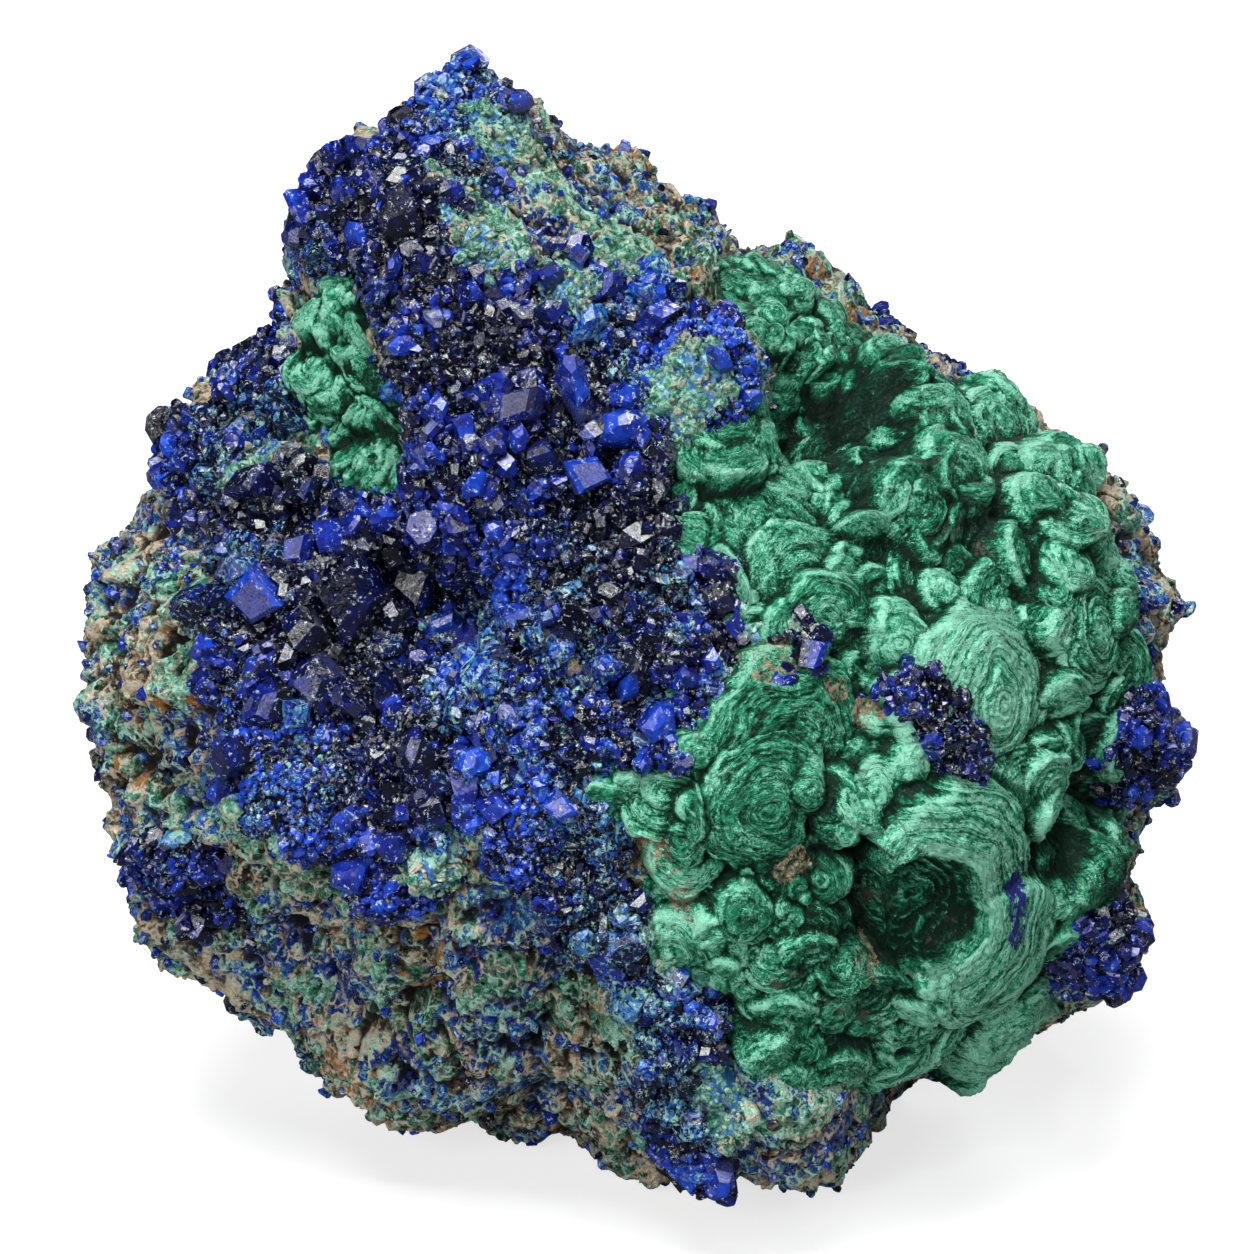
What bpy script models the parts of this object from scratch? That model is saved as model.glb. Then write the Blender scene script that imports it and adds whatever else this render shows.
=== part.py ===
"""Azurite crystals and banded malachite grown on a lump of host rock, at real size.

Run it with: blender --background --python part.py

The stone is modelled round CENTRE. Each mineral is a skin, one distance from CENTRE for every
direction, worked out by the functions below from the stone's outline, its hollows and its domes,
and laid on a sphere. Places on the stone are (x, y) in millimetres in the face plane through
CENTRE, which leans back from the upright by FACE_TILT: x runs to the right and y up the face. They
are given as an eye EYE_DISTANCE in front of that plane sees them.
World axes: +X right, +Y to the back, +Z up. The lump stands on a worn flat at z = 0.
"""

import math
from functools import lru_cache, partial

import bmesh
import bpy
import numpy as np
from mathutils import Matrix, Vector

MM = 0.001

# Driving sizes, in millimetres and degrees.
CENTRE = (-1.1, 4.8, 48.6)
FACE_TILT = 20.0
EYE_DISTANCE = 600.0
FRONT_DEPTH = 36.0
BACK_DEPTH = 38.0
FULLNESS = 2.35
CLEARANCE = 0.4

# The lump's outline across the face plane: (degrees round from +x towards +y, radius).
OUTLINE = (
    (0, 51.5), (5, 53.5), (15, 52.5), (20, 49.5), (25, 48.5), (30, 44.5), (38, 40.0),
    (45, 38.5), (55, 38.5), (68, 41.0), (75, 40.0), (80, 45.0), (90, 50.5), (95, 51.5),
    (100, 55.5), (105, 59.0), (110, 57.0), (120, 55.0), (126, 53.0), (131, 49.5),
    (135, 43.0), (141, 40.5), (150, 45.0), (160, 44.5), (170, 49.5), (185, 51.5),
    (195, 50.5), (200, 49.5), (205, 53.0), (212, 51.0), (220, 48.5), (230, 50.0),
    (240, 52.0), (250, 49.5), (258, 46.5), (265, 45.5), (272, 49.0), (280, 52.0),
    (290, 54.0), (296, 52.0), (301, 48.0), (310, 49.5), (320, 56.0), (325, 57.0),
    (330, 57.0), (336, 51.5), (341, 50.5), (348, 54.0), (354, 51.0),
)

# Swellings and hollows of the show face: (x, y, reach, rise).
RELIEF = (
    (-22.0, 4.0, 8.0, -9.0),  # the deep pocket of dark crystals
    (-16.0, 4.0, 5.0, -5.0),
    (-30.0, 14.0, 5.5, -4.0),  # the shelf above it
    (-34.0, 15.0, 4.0, -2.5),
    (-26.0, 27.0, 6.0, -5.0),  # the green seam's recess
    (-23.0, 21.0, 5.0, -4.0),
    (-33.0, 33.0, 5.0, 2.0),  # its left wall
    (-33.0, 25.0, 5.0, 2.0),
    (-19.0, 40.0, 5.0, 2.5),  # brow over the seam
    (-7.0, 27.0, 8.0, -3.0),  # the valley that the druse runs down
    (-5.0, 12.0, 6.0, -3.5),
    (8.0, 26.0, 6.0, 4.0),  # ridge between the valley and the green mass
    (2.0, 38.0, 8.0, 2.0),
    (-8.0, -6.0, 8.0, 3.0),
    (-18.0, -2.0, 5.0, 2.0),
    (-31.0, -12.0, 8.0, 4.0),  # lower left shoulder
    (-46.0, 0.0, 8.0, 2.0),
    (26.0, -15.0, 22.0, 4.0),  # the whole green mass stands proud
    (21.0, 22.0, 6.0, -8.0),  # its cave
    (25.0, 5.0, 4.0, -4.5),
    (33.0, 7.0, 4.0, -4.5),
    (45.5, -14.0, 5.0, -5.0),
    (12.0, -43.0, 10.0, 4.0),  # front foot
    (-20.0, -36.0, 9.0, -2.0),
    (-34.0, -30.0, 9.0, -2.5),
    (0.0, -30.0, 6.0, -1.5),
    (30.0, -45.0, 8.0, -4.0),
)

# Edge of the crystal crust at lower left, (x, y): the rock below it is set back by LEDGE_DEPTH.
LEDGE = ((-52.0, -18.0), (-42.0, -18.5), (-33.0, -20.0), (-28.0, -24.0), (-16.0, -26.0), (-4.0, -28.0))
LEDGE_DEPTH = 3.5
LEDGE_SOFTNESS = 2.5
LEDGE_REACH = 16.0

# Swellings of the far side: (x, y, reach, rise).
BACK_RELIEF = (
    (-20.0, 30.0, 14.0, 4.0),
    (22.0, 14.0, 15.0, 4.0),
    (6.0, -20.0, 16.0, 3.0),
    (-30.0, -12.0, 13.0, 3.0),
    (0.0, 12.0, 9.0, -6.0),
    (34.0, -20.0, 9.0, -4.0),
    (-24.0, -40.0, 12.0, 9.0),  # the two feet behind the front one
    (-15.0, -44.0, 11.0, 6.0),
    (26.0, -39.0, 12.0, 8.0),
    (0.0, -42.0, 10.0, 4.0),
)

# Lumps of the rock, in millimetres: (width, height, channel), and the steps that it breaks in.
LUMPS = ((12.0, 3.6, 11), (6.2, 1.7, 21))
STEP_HEIGHT = 3.4
STEP_WIDTH = 21.0

# Flat breaks across the far side: (outward normal in the face frame, distance from CENTRE).
BREAKS = (
    ((-0.45, 0.35, -0.82), 31.0),
    ((0.40, 0.42, -0.81), 32.0),
    ((0.15, -0.30, -0.94), 33.0),
    ((-0.75, -0.15, -0.65), 42.0),
    ((0.80, -0.10, -0.60), 44.5),
    ((0.10, 0.85, -0.50), 40.5),
    ((-0.35, -0.75, -0.55), 43.0),
)
BREAK_ROUNDING = 1.3

# Domes of banded malachite: (x, y, radius, how far the dome stands out of the stone).
MALACHITE_DOMES = (
    (8.5, 13.5, 6.5, 2.2),
    (14.0, 11.5, 8.0, 3.2),
    (18.5, 7.0, 7.0, 2.8),
    (10.0, 20.0, 5.0, 2.0),
    (23.0, 26.5, 4.5, 2.2),
    (30.5, 22.0, 8.6, 4.2),
    (29.0, 13.0, 5.5, 3.0),
    (34.0, 10.0, 4.5, 2.2),
    (22.5, 14.0, 4.0, 2.0),
    (38.0, 22.0, 6.0, 2.0),
    (43.0, 15.5, 7.5, 2.6),
    (37.5, 5.0, 4.5, 2.0),
    (45.0, 2.5, 8.8, 3.8),
    (48.5, -5.0, 5.0, 2.0),
    (34.5, -5.0, 10.5, 4.6),
    (29.0, 0.0, 5.5, 1.4),
    (16.5, -8.0, 11.5, 4.2),
    (14.0, -12.5, 7.4, 6.6),
    (7.0, -14.0, 5.5, 2.6),
    (1.5, -15.5, 4.5, 1.8),
    (20.0, -20.0, 6.0, 2.0),
    (30.5, -19.0, 9.0, 4.6),
    (38.0, -14.0, 7.5, 3.2),
    (35.0, -28.0, 9.0, 5.2),
    (38.0, -35.0, 6.5, 2.6),
    (29.0, -35.5, 7.0, 3.4),
    (14.5, -28.0, 7.5, 2.8),
    (21.0, -32.0, 6.0, 3.4),
    (9.0, -22.0, 5.5, 2.2),
    (45.5, -24.0, 6.5, 2.4),
    (46.5, -17.5, 5.0, 2.2),
)

# The ground between the domes, which closes the mass: (x, y, radius).
MALACHITE_GROUND = (
    (12.0, 14.0, 9.0), (20.0, 21.5, 8.0), (31.0, 15.0, 13.0), (41.0, 8.0, 13.0), (26.0, 3.0, 9.0),
    (30.0, -8.0, 15.0), (42.0, -10.0, 12.0), (20.0, -18.0, 14.0), (32.0, -26.0, 13.0),
    (42.0, -22.0, 9.0), (8.0, -15.0, 7.0), (44.0, -17.0, 8.0), (47.0, -14.0, 7.0),
)

# How far the creases and bowls of the mass go below the stone, and how deep it is seated in the rock.
CREVICE_DEPTH = 0.9
BOWL_DEPTH = 5.5
MASS_SEAT = 8.5
SKIN_SEAT = 3.4
HIDDEN_LEVEL = 0.55

# Bowls broken into the domes: (x, y, radius, height of the bowl's centre above the stone).
MALACHITE_BOWLS = (
    (24.5, -24.0, 8.0, 2.2),
    (18.0, -19.0, 3.4, 2.2),
    (21.5, 20.5, 5.0, 1.5),
    (45.0, -13.5, 3.8, 1.8),
)

# Lobes of the smooth green seam under the brow at upper left: (x, y, radius, standing out).
SEAM_LOBES = (
    (-28.5, 31.0, 5.5, 1.4),
    (-26.0, 25.5, 5.5, 1.8),
    (-22.5, 21.5, 5.0, 1.6),
    (-26.0, 18.0, 5.0, 1.2),
    (-20.5, 15.5, 3.6, 1.2),
)

# Patches of the azurite crust on the show face: (x, y, radius).
DRUSE_PATCHES = (
    (-13.5, 53.0, 6.0), (-17.5, 48.0, 7.0), (-21.0, 43.0, 7.0), (-27.0, 41.5, 5.5),
    (-20.0, 38.0, 6.0), (-13.0, 34.0, 6.5), (-7.0, 31.0, 7.0),
    (-1.0, 29.0, 7.5), (-10.0, 24.0, 8.0), (-3.0, 19.0, 9.0), (6.5, 26.5, 6.0),
    (-13.0, 14.0, 7.5), (-2.0, 8.0, 10.0), (7.0, 4.0, 7.0), (14.0, 1.0, 4.5),
    (3.0, -4.5, 7.0), (-12.0, 0.0, 9.0), (-24.0, 4.0, 11.0), (-33.0, 12.0, 7.5),
    (-40.0, 18.0, 6.0), (-33.0, 25.0, 5.0), (-36.0, 2.0, 8.0), (-31.0, -10.0, 10.0),
    (-21.0, -9.0, 9.0), (-10.0, -11.0, 8.0), (-6.0, -18.0, 6.5), (-22.0, -19.0, 6.5),
    (-2.0, -25.0, 5.0), (2.0, -31.0, 4.5), (5.0, -36.5, 5.0), (7.0, -43.0, 4.5), (6.0, -48.0, 4.0),
)

# Azurite growing by itself elsewhere: name, patches (x, y, radius, side), crystals (count, size).
OUTLYING_CLUSTERS = {
    "azurite_cluster_right": (((49.5, -8.0, 5.0, 1), (50.5, -10.0, 5.5, 1), (51.6, -9.0, 5.0, 1)), 5, 3.0),
    "azurite_cluster_corner": (((46.5, -28.0, 5.0, 1), (48.0, -28.5, 5.0, 1)), 4, 2.6),
    "azurite_cluster_upper": (((24.0, 28.0, 4.4, -1), (27.0, 25.5, 3.6, -1)), 3, 2.2),
    "azurite_cluster_left": (((-30.5, 25.0, 4.4, -1), (-29.5, 29.0, 4.6, -1)), 4, 2.4),
    "azurite_cluster_low_left": (((-43.5, -21.0, 4.6, 1), (-41.0, -25.0, 3.6, 1)), 4, 2.4),
}
KNOT_ON_MALACHITE = (((28.5, -4.5, 3.4, 1), (31.0, -8.3, 3.6, 1)), 6, 2.6)

# The largest azurite crystals: (x, y, size, turn about the face's own axis, lean).
LARGE_CRYSTALS = (
    (-20.5, 40.0, 6.6, 10, 8), (-24.5, 39.3, 3.6, 70, 35), (-20.5, 35.0, 4.0, 30, 40),
    (-3.8, 23.5, 7.2, 20, 15), (0.3, 21.0, 5.4, 65, 40), (-8.6, 20.8, 4.8, 40, 25),
    (-3.4, 16.0, 4.8, 20, 32), (-6.8, 17.2, 4.2, 80, 50), (-11.0, 18.5, 3.6, 15, 45),
    (-14.0, 20.0, 3.4, 50, 20), (-25.0, 5.5, 8.6, 35, 18), (-20.0, 6.0, 6.2, 80, 35),
    (-29.5, 2.0, 5.6, 10, 30), (-26.0, 10.0, 5.0, 55, 25), (-29.5, 9.2, 4.4, 5, 42),
    (-33.0, 5.5, 4.6, 25, 38), (-33.5, 15.5, 5.0, 45, 20), (-29.0, 14.5, 4.6, 70, 30),
    (-25.0, 13.5, 3.8, 20, 25), (-29.0, -3.0, 5.8, 30, 35), (-32.5, -5.0, 5.0, 65, 30),
    (-25.5, -4.5, 4.8, 15, 45), (-22.0, -4.0, 4.2, 45, 30), (-36.0, -10.0, 4.6, 75, 25),
    (-16.0, 0.5, 4.4, 60, 30), (1.0, -3.6, 4.6, 20, 40),
    (3.5, -6.5, 4.2, 50, 30), (5.0, -2.5, 3.4, 35, 35),
    (-24.5, -20.5, 5.4, 15, 30), (-20.5, -17.5, 4.2, 60, 40), (-43.5, 21.5, 4.4, 25, 30),
    (-41.0, 19.5, 3.8, 70, 35), (-36.8, 28.0, 4.4, 40, 25), (-40.5, 13.0, 4.0, 15, 40),
    (-6.0, 33.5, 3.2, 60, 25), 
    (9.0, 26.0, 3.6, 45, 25), (12.0, 23.5, 3.2, 20, 30),
    (6.5, 8.0, 3.0, 55, 25), (11.0, 2.5, 3.0, 75, 20),
    (-11.5, -14.0, 3.4, 30, 30), (2.5, -34.0, 3.2, 60, 30), 
)
CRYSTAL_PLANES = (
    (1.0, 1.0, 0.1), (1.0, -1.0, -0.1), (-1.0, 0.9, 0.1), (0.9, 0.1, 1.0), (-0.9, 0.2, 1.1),
)
CRYSTAL_SPREAD = 1.2
CRYSTAL_SINK = 0.02
CRUST_SEAT = 1.2
CRUST_LIFT = 1.2
ROSETTE = (5.2, 2.4, 51)

# Dark malachite nodules along the upper rim: (x, y, radius, standing out).
TOP_NODULES = (
    (12.0, 36.5, 3.8, 2.2), (15.5, 35.0, 4.0, 2.6), (18.7, 33.0, 3.8, 2.2),
    (21.5, 30.5, 3.6, 2.0), (13.5, 32.0, 3.6, 2.0), (17.5, 30.0, 3.4, 1.8),
)
NODULE_GROUND = ((14.5, 34.0, 5.0), (18.5, 32.0, 5.0))

# Colour, roughness and metallic value of each mineral.
ROCK_FINISH = ((0.17, 0.13, 0.08, 1.0), 0.9)
MALACHITE_FINISH = ((0.03, 0.27, 0.15, 1.0), 0.6)
AZURITE_FINISH = ((0.01, 0.03, 0.33, 1.0), 0.25)

SPHERE_SPLITS = 6
ROCK_KEEP = 0.125
MALACHITE_KEEP = 0.092
AZURITE_KEEP = 0.05


# ---------------------------------------------------------------- noise


def lattice_value(ix, iy, iz, channel):
    """A repeatable number from 0 to 1 for each whole-number point and channel."""
    n = (ix * 374761393 + iy * 668265263 + iz * 974634777 + channel * 1274126177) & 0xFFFFFFFF
    n = ((n ^ (n >> 13)) * 1274126177) & 0xFFFFFFFF
    n = ((n ^ (n >> 16)) * 668265263) & 0xFFFFFFFF
    return (n ^ (n >> 15)) / 4294967296.0


def smooth_noise(points, size, channel):
    """Noise from -1 to 1 with cells of the given size, blended between lattice values."""
    scaled = points / size
    cell = np.floor(scaled).astype(np.int64)
    part = scaled - cell
    part = part * part * (3.0 - 2.0 * part)
    total = np.zeros(len(points))
    for corner in range(8):
        step = np.array([corner & 1, corner >> 1 & 1, corner >> 2 & 1])
        weight = np.prod(np.where(step, part, 1.0 - part), axis=1)
        at = cell + step
        total += weight * lattice_value(at[:, 0], at[:, 1], at[:, 2], channel)
    return 2.0 * total - 1.0


def rounded_lumps(points, size, channel):
    """Packed round lumps, from 0 in the creases to 1 on the crowns, one in each cell."""
    scaled = points / size
    cell = np.floor(scaled).astype(np.int64)
    nearest = np.full(len(points), 9.0)
    for index in range(27):
        at = cell + np.array([index % 3 - 1, index // 3 % 3 - 1, index // 9 - 1])
        where = np.stack(
            [lattice_value(at[:, 0], at[:, 1], at[:, 2], channel + axis) for axis in range(3)],
            axis=1,
        )
        nearest = np.minimum(nearest, np.sum((at + where - scaled) ** 2, axis=1))
    return np.clip(1.0 - nearest, 0.0, 1.0)


def smoothstep(low, high, value):
    t = np.clip((value - low) / (high - low), 0.0, 1.0)
    return t * t * (3.0 - 2.0 * t)


# ---------------------------------------------------------------- form of the stone


def face_axes():
    """World directions of the face frame's x, y and outward axes, as the rows of a matrix."""
    tilt = math.radians(FACE_TILT)
    return np.array([
        [1.0, 0.0, 0.0],
        [0.0, math.sin(tilt), math.cos(tilt)],
        [0.0, -math.cos(tilt), math.sin(tilt)],
    ])


def plain_radius(face):
    """Distance to the smooth stone along unit directions given in the face frame."""
    angle = np.degrees(np.arctan2(face[:, 1], face[:, 0])) % 360.0
    table = np.array(OUTLINE, float)
    rim = np.interp(angle, table[:, 0], table[:, 1], period=360.0)
    across = np.hypot(face[:, 0], face[:, 1]) / rim
    depth = np.where(face[:, 2] > 0.0, FRONT_DEPTH, BACK_DEPTH)
    return (across**FULLNESS + np.abs(face[:, 2] / depth) ** FULLNESS) ** (-1.0 / FULLNESS)


@lru_cache(maxsize=None)
def toward(x, y, side, level):
    """Unit direction of the place seen at (x, y), on the form that level gives for a direction."""
    depth = side * 20.0
    for _ in range(12):
        share = 1.0 - depth / EYE_DISTANCE
        place = np.array([x * share, y * share, depth])
        reach = level((place / np.linalg.norm(place))[None, :])[0]
        found = math.sqrt(max(reach**2 - place[0] ** 2 - place[1] ** 2, 1.0))
        depth = 0.5 * (depth + side * found)
    return place / np.linalg.norm(place)


def on_plain_form(direction):
    """The point of the plain form along one direction."""
    return direction * plain_radius(direction[None, :])[0]


def bell(points, table, side):
    """Sum of bell-shaped rises centred on the table's places."""
    total = np.zeros(len(points))
    for x, y, reach, rise in table:
        centre = on_plain_form(toward(x, y, side, plain_radius))
        gap = np.sum((points - centre) ** 2, axis=1)
        total += rise * np.exp(-gap / reach**2)
    return total


def ledge_inset(points):
    """How far the rock under the crust's lower left edge is set back."""
    edge = np.array(LEDGE)
    below = np.interp(points[:, 0], edge[:, 0], edge[:, 1]) - points[:, 1]
    amount = smoothstep(0.0, LEDGE_SOFTNESS, below) * np.exp(-np.clip(below, 0.0, None) / LEDGE_REACH)
    side = smoothstep(edge[-1, 0] + 6.0, edge[-1, 0] - 4.0, points[:, 0])
    return LEDGE_DEPTH * amount * side * smoothstep(-2.0, 8.0, points[:, 2])


def broken(face, radius):
    """The radius cut back to the flat breaks, with their edges rounded."""
    total = np.exp(-radius / BREAK_ROUNDING)
    for normal, distance in BREAKS:
        facing = face @ (np.array(normal) / np.linalg.norm(normal))
        total += np.exp(-distance / np.maximum(facing, 0.2) / BREAK_ROUNDING)
    return -BREAK_ROUNDING * np.log(total)


def stepped(height):
    """A height gathered into level treads with short risers between them."""
    whole = np.floor(height / STEP_HEIGHT * 2.0)
    part = height / STEP_HEIGHT * 2.0 - whole
    return 0.5 * STEP_HEIGHT * (whole + smoothstep(0.3, 0.7, part))


def form_radius(face):
    """Distance to the stone's main form: swellings, hollows, ledge and breaks, with no lumps."""
    plain = plain_radius(face)
    points = face * plain[:, None]
    radius = plain + bell(points, RELIEF, 1) * smoothstep(0.0, 0.3, face[:, 2])
    radius += bell(points, BACK_RELIEF, -1) * smoothstep(0.0, 0.3, -face[:, 2])
    return broken(face, radius - ledge_inset(points))


def stone_radius(face):
    """Distance to the lumpy stone before any mineral is parted from it."""
    points = face * plain_radius(face)[:, None]
    radius = form_radius(face) + stepped(STEP_HEIGHT * smooth_noise(points, STEP_WIDTH, 3))
    for width, height, channel in LUMPS:
        radius += height * (rounded_lumps(points, width, channel) - 0.55)
    return radius


def ball_reach(face, x, y, radius, standing, side=1):
    """Distances at which each ray from CENTRE enters and leaves a ball set into the stone."""
    outward = toward(x, y, side, form_radius)
    centre = outward * (form_radius(outward[None, :])[0] + standing - radius)
    along = face @ centre
    room = radius**2 - centre @ centre + along**2
    hit = room > 0.0
    half = np.sqrt(np.where(hit, room, 0.0))
    return np.where(hit, along - half, 0.0), np.where(hit, along + half, 0.0)


def dome_radius(face, domes):
    """Distance to the outermost dome along each direction, and well inside the stone elsewhere."""
    radius = HIDDEN_LEVEL * plain_radius(face)
    for dome in domes:
        radius = np.maximum(radius, ball_reach(face, *dome)[1])
    return radius


def patch_cover(face, patches):
    """1 inside a group of round patches (x, y, radius, side), falling to 0 and below outside."""
    points = face * plain_radius(face)[:, None]
    cover = np.full(len(points), -9.0)
    for x, y, radius, side in patches:
        gap = np.linalg.norm(points - on_plain_form(toward(x, y, side, form_radius)), axis=1)
        cover = np.maximum(cover, 1.0 - gap / radius)
    return cover + 0.14 * smooth_noise(points, 5.0, 31)


def druse_patches():
    return [(x, y, radius, 1) for x, y, radius in DRUSE_PATCHES]


def lobed_cover(face, lobes, ground=()):
    """Above 0 where a lobed mineral grows: under its lobes and on the ground between them."""
    under = [(x, y, 0.9 * radius, 1) for x, y, radius, _ in lobes]
    return patch_cover(face, under + [(x, y, radius, 1) for x, y, radius in ground])


def lobed_radius(face, lobes, ground=(), bowls=()):
    """A lobed mineral's skin: lobes joined by creases, with bowls bitten out to BOWL_DEPTH."""
    stone = stone_radius(face)
    lobe = dome_radius(face, lobes)
    grown = lobed_cover(face, lobes, ground) > -0.05
    radius = np.where(grown, np.maximum(lobe, stone - CREVICE_DEPTH), lobe)
    for x, y, size, height in bowls:
        enter = ball_reach(face, x, y, size, height + size)[0]
        bitten = (enter > 0.0) & (radius > enter)
        radius = np.where(bitten, np.maximum(enter, stone - BOWL_DEPTH), radius)
    return radius


def malachite_radius(face):
    return lobed_radius(face, MALACHITE_DOMES, MALACHITE_GROUND, MALACHITE_BOWLS)


def seam_radius(face):
    return lobed_radius(face, SEAM_LOBES)


def nodule_radius(face):
    return lobed_radius(face, TOP_NODULES, NODULE_GROUND)


def crust_radius(face, patches):
    """The azurite crust: rosettes proud of the stone inside its patches, sunk below it outside."""
    cover = patch_cover(face, patches)
    plain = plain_radius(face)
    width, height, channel = ROSETTE
    rosettes = height * rounded_lumps(face * plain[:, None], width, channel)
    crust = stone_radius(face) + CRUST_LIFT + rosettes
    hidden = HIDDEN_LEVEL * plain
    return hidden + (crust - hidden) * smoothstep(-0.5, 0.12, cover)


def knot_radius(face):
    """The azurite knot rides on the malachite domes instead of the rock."""
    cover = patch_cover(face, KNOT_ON_MALACHITE[0])
    hidden = HIDDEN_LEVEL * plain_radius(face)
    knot = np.maximum(malachite_radius(face), stone_radius(face)) + CRUST_LIFT
    return hidden + (knot - hidden) * smoothstep(-0.5, 0.12, cover)


def floor_limit(face):
    """Distance to the worn flat at z = 0 for rays that point down."""
    down = -(face @ face_axes())[:, 2]
    return np.where(down > 1e-6, CENTRE[2] / np.maximum(down, 1e-6), 1e6)


def rock_radius(face):
    """The host rock: the stone, set back where malachite or the crust is seated on it."""
    stone = stone_radius(face)
    skins = np.maximum(lobed_cover(face, SEAM_LOBES), lobed_cover(face, TOP_NODULES, NODULE_GROUND))
    mass = lobed_cover(face, MALACHITE_DOMES, MALACHITE_GROUND)
    seat = np.maximum(SKIN_SEAT * smoothstep(0.0, 0.12, skins), MASS_SEAT * smoothstep(0.0, 0.12, mass))
    patches = druse_patches() + [p for group in OUTLYING_CLUSTERS.values() for p in group[0]]
    crust = CRUST_SEAT * smoothstep(-0.05, 0.15, patch_cover(face, patches))
    return np.minimum(stone - np.maximum(seat, crust), floor_limit(face))


# ---------------------------------------------------------------- meshes


def to_world(points):
    """Face-frame points in millimetres as world points in metres."""
    return (points @ face_axes() + np.array(CENTRE)) * MM


def finish_of(name, colour, roughness):
    material = bpy.data.materials.get(name) or bpy.data.materials.new(name)
    material.use_nodes = True
    shader = material.node_tree.nodes["Principled BSDF"]
    shader.inputs["Base Color"].default_value = colour
    shader.inputs["Roughness"].default_value = roughness
    shader.inputs["Metallic"].default_value = 0.0
    return material


def collection_named(name, shown=True):
    found = bpy.data.collections.get(name)
    if found is None:
        found = bpy.data.collections.new(name)
        bpy.context.scene.collection.children.link(found)
    found.hide_render = not shown
    return found


def object_from(mesh, name, collection):
    made = bpy.data.objects.new(name, mesh)
    collection.objects.link(made)
    return made


def skin_on_sphere(name, radius_of, keep):
    """An icosphere whose points are moved out to radius_of, thinned where it is plain."""
    mesh = bpy.data.meshes.new(name)
    ball = bmesh.new()
    bmesh.ops.create_icosphere(ball, subdivisions=SPHERE_SPLITS, radius=1.0)
    ball.to_mesh(mesh)
    ball.free()
    face = np.empty(len(mesh.vertices) * 3)
    mesh.vertices.foreach_get("co", face)
    face = face.reshape(-1, 3)
    face /= np.linalg.norm(face, axis=1)[:, None]
    mesh.vertices.foreach_set("co", to_world(face * radius_of(face)[:, None]).ravel())
    made = object_from(mesh, name, collection_named("shaping"))
    thin = made.modifiers.new("thin", "DECIMATE")
    thin.ratio = keep
    return applied(made)


def applied(made):
    """The object with its modifiers worked into a mesh of its own."""
    bpy.context.view_layer.update()
    graph = bpy.context.evaluated_depsgraph_get()
    mesh = bpy.data.meshes.new_from_object(made.evaluated_get(graph))
    made.modifiers.clear()
    made.data = mesh
    return made


def settle_flat(made):
    """Points a hair off the worn flat are put back on it."""
    for vertex in made.data.vertices:
        if vertex.co.z < 0.15 * MM:
            vertex.co.z = 0.0


def swollen_copy(made, by):
    """A copy whose points stand further from CENTRE, which cuts a seat with that clearance."""
    copy = object_from(made.data.copy(), made.name + "_cutter", collection_named("cutters"))
    centre = Vector(CENTRE) * MM
    for vertex in copy.data.vertices:
        ray = vertex.co - centre
        vertex.co = centre + ray * (1.0 + by * MM / ray.length)
    copy.hide_render = True
    copy.display_type = "WIRE"
    return copy


def boolean(made, other, operation):
    step = made.modifiers.new(operation.lower(), "BOOLEAN")
    step.operation = operation
    step.solver = "EXACT"
    step.object = other
    return applied(made)


def keep_largest_piece(made):
    """Drops the crumbs that a cut leaves round the main piece."""
    work = bmesh.new()
    work.from_mesh(made.data)
    bmesh.ops.remove_doubles(work, verts=work.verts, dist=0.002 * MM)
    islands, seen = [], set()
    for start in work.verts:
        if start in seen:
            continue
        island, front = [], [start]
        seen.add(start)
        while front:
            vertex = front.pop()
            island.append(vertex)
            for edge in vertex.link_edges:
                other = edge.other_vert(vertex)
                if other not in seen:
                    seen.add(other)
                    front.append(other)
        islands.append(island)
    largest = max(islands, key=len)
    crumbs = [v for island in islands if island is not largest for v in island]
    bmesh.ops.delete(work, geom=crumbs, context="VERTS")
    work.to_mesh(made.data)
    work.free()


def cut_by(made, cutters):
    for cutter in cutters:
        boolean(made, cutter, "DIFFERENCE")
    keep_largest_piece(made)
    return made


def crystal_mesh(name, size, rng):
    """A blocky azurite crystal: a cube cut by prism, dome and corner planes."""
    block = bmesh.new()
    bmesh.ops.create_cube(block, size=1.0)
    bmesh.ops.scale(block, vec=(1.0, rng.uniform(0.72, 0.9), rng.uniform(0.8, 1.05)), verts=block.verts)
    for plane in CRYSTAL_PLANES:
        normal = Vector(plane).normalized()
        gap = rng.uniform(0.44, 0.54)
        geometry = block.verts[:] + block.edges[:] + block.faces[:]
        cut = bmesh.ops.bisect_plane(
            block, geom=geometry, plane_co=normal * gap, plane_no=normal, clear_outer=True
        )
        rim = [e for e in cut["geom_cut"] if isinstance(e, bmesh.types.BMEdge)]
        if rim:
            bmesh.ops.contextual_create(block, geom=rim)
    bmesh.ops.scale(block, vec=(CRYSTAL_SPREAD * size * MM,) * 3, verts=block.verts)
    bmesh.ops.recalc_face_normals(block, faces=block.faces)
    mesh = bpy.data.meshes.new(name)
    block.to_mesh(mesh)
    block.free()
    return mesh


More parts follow.
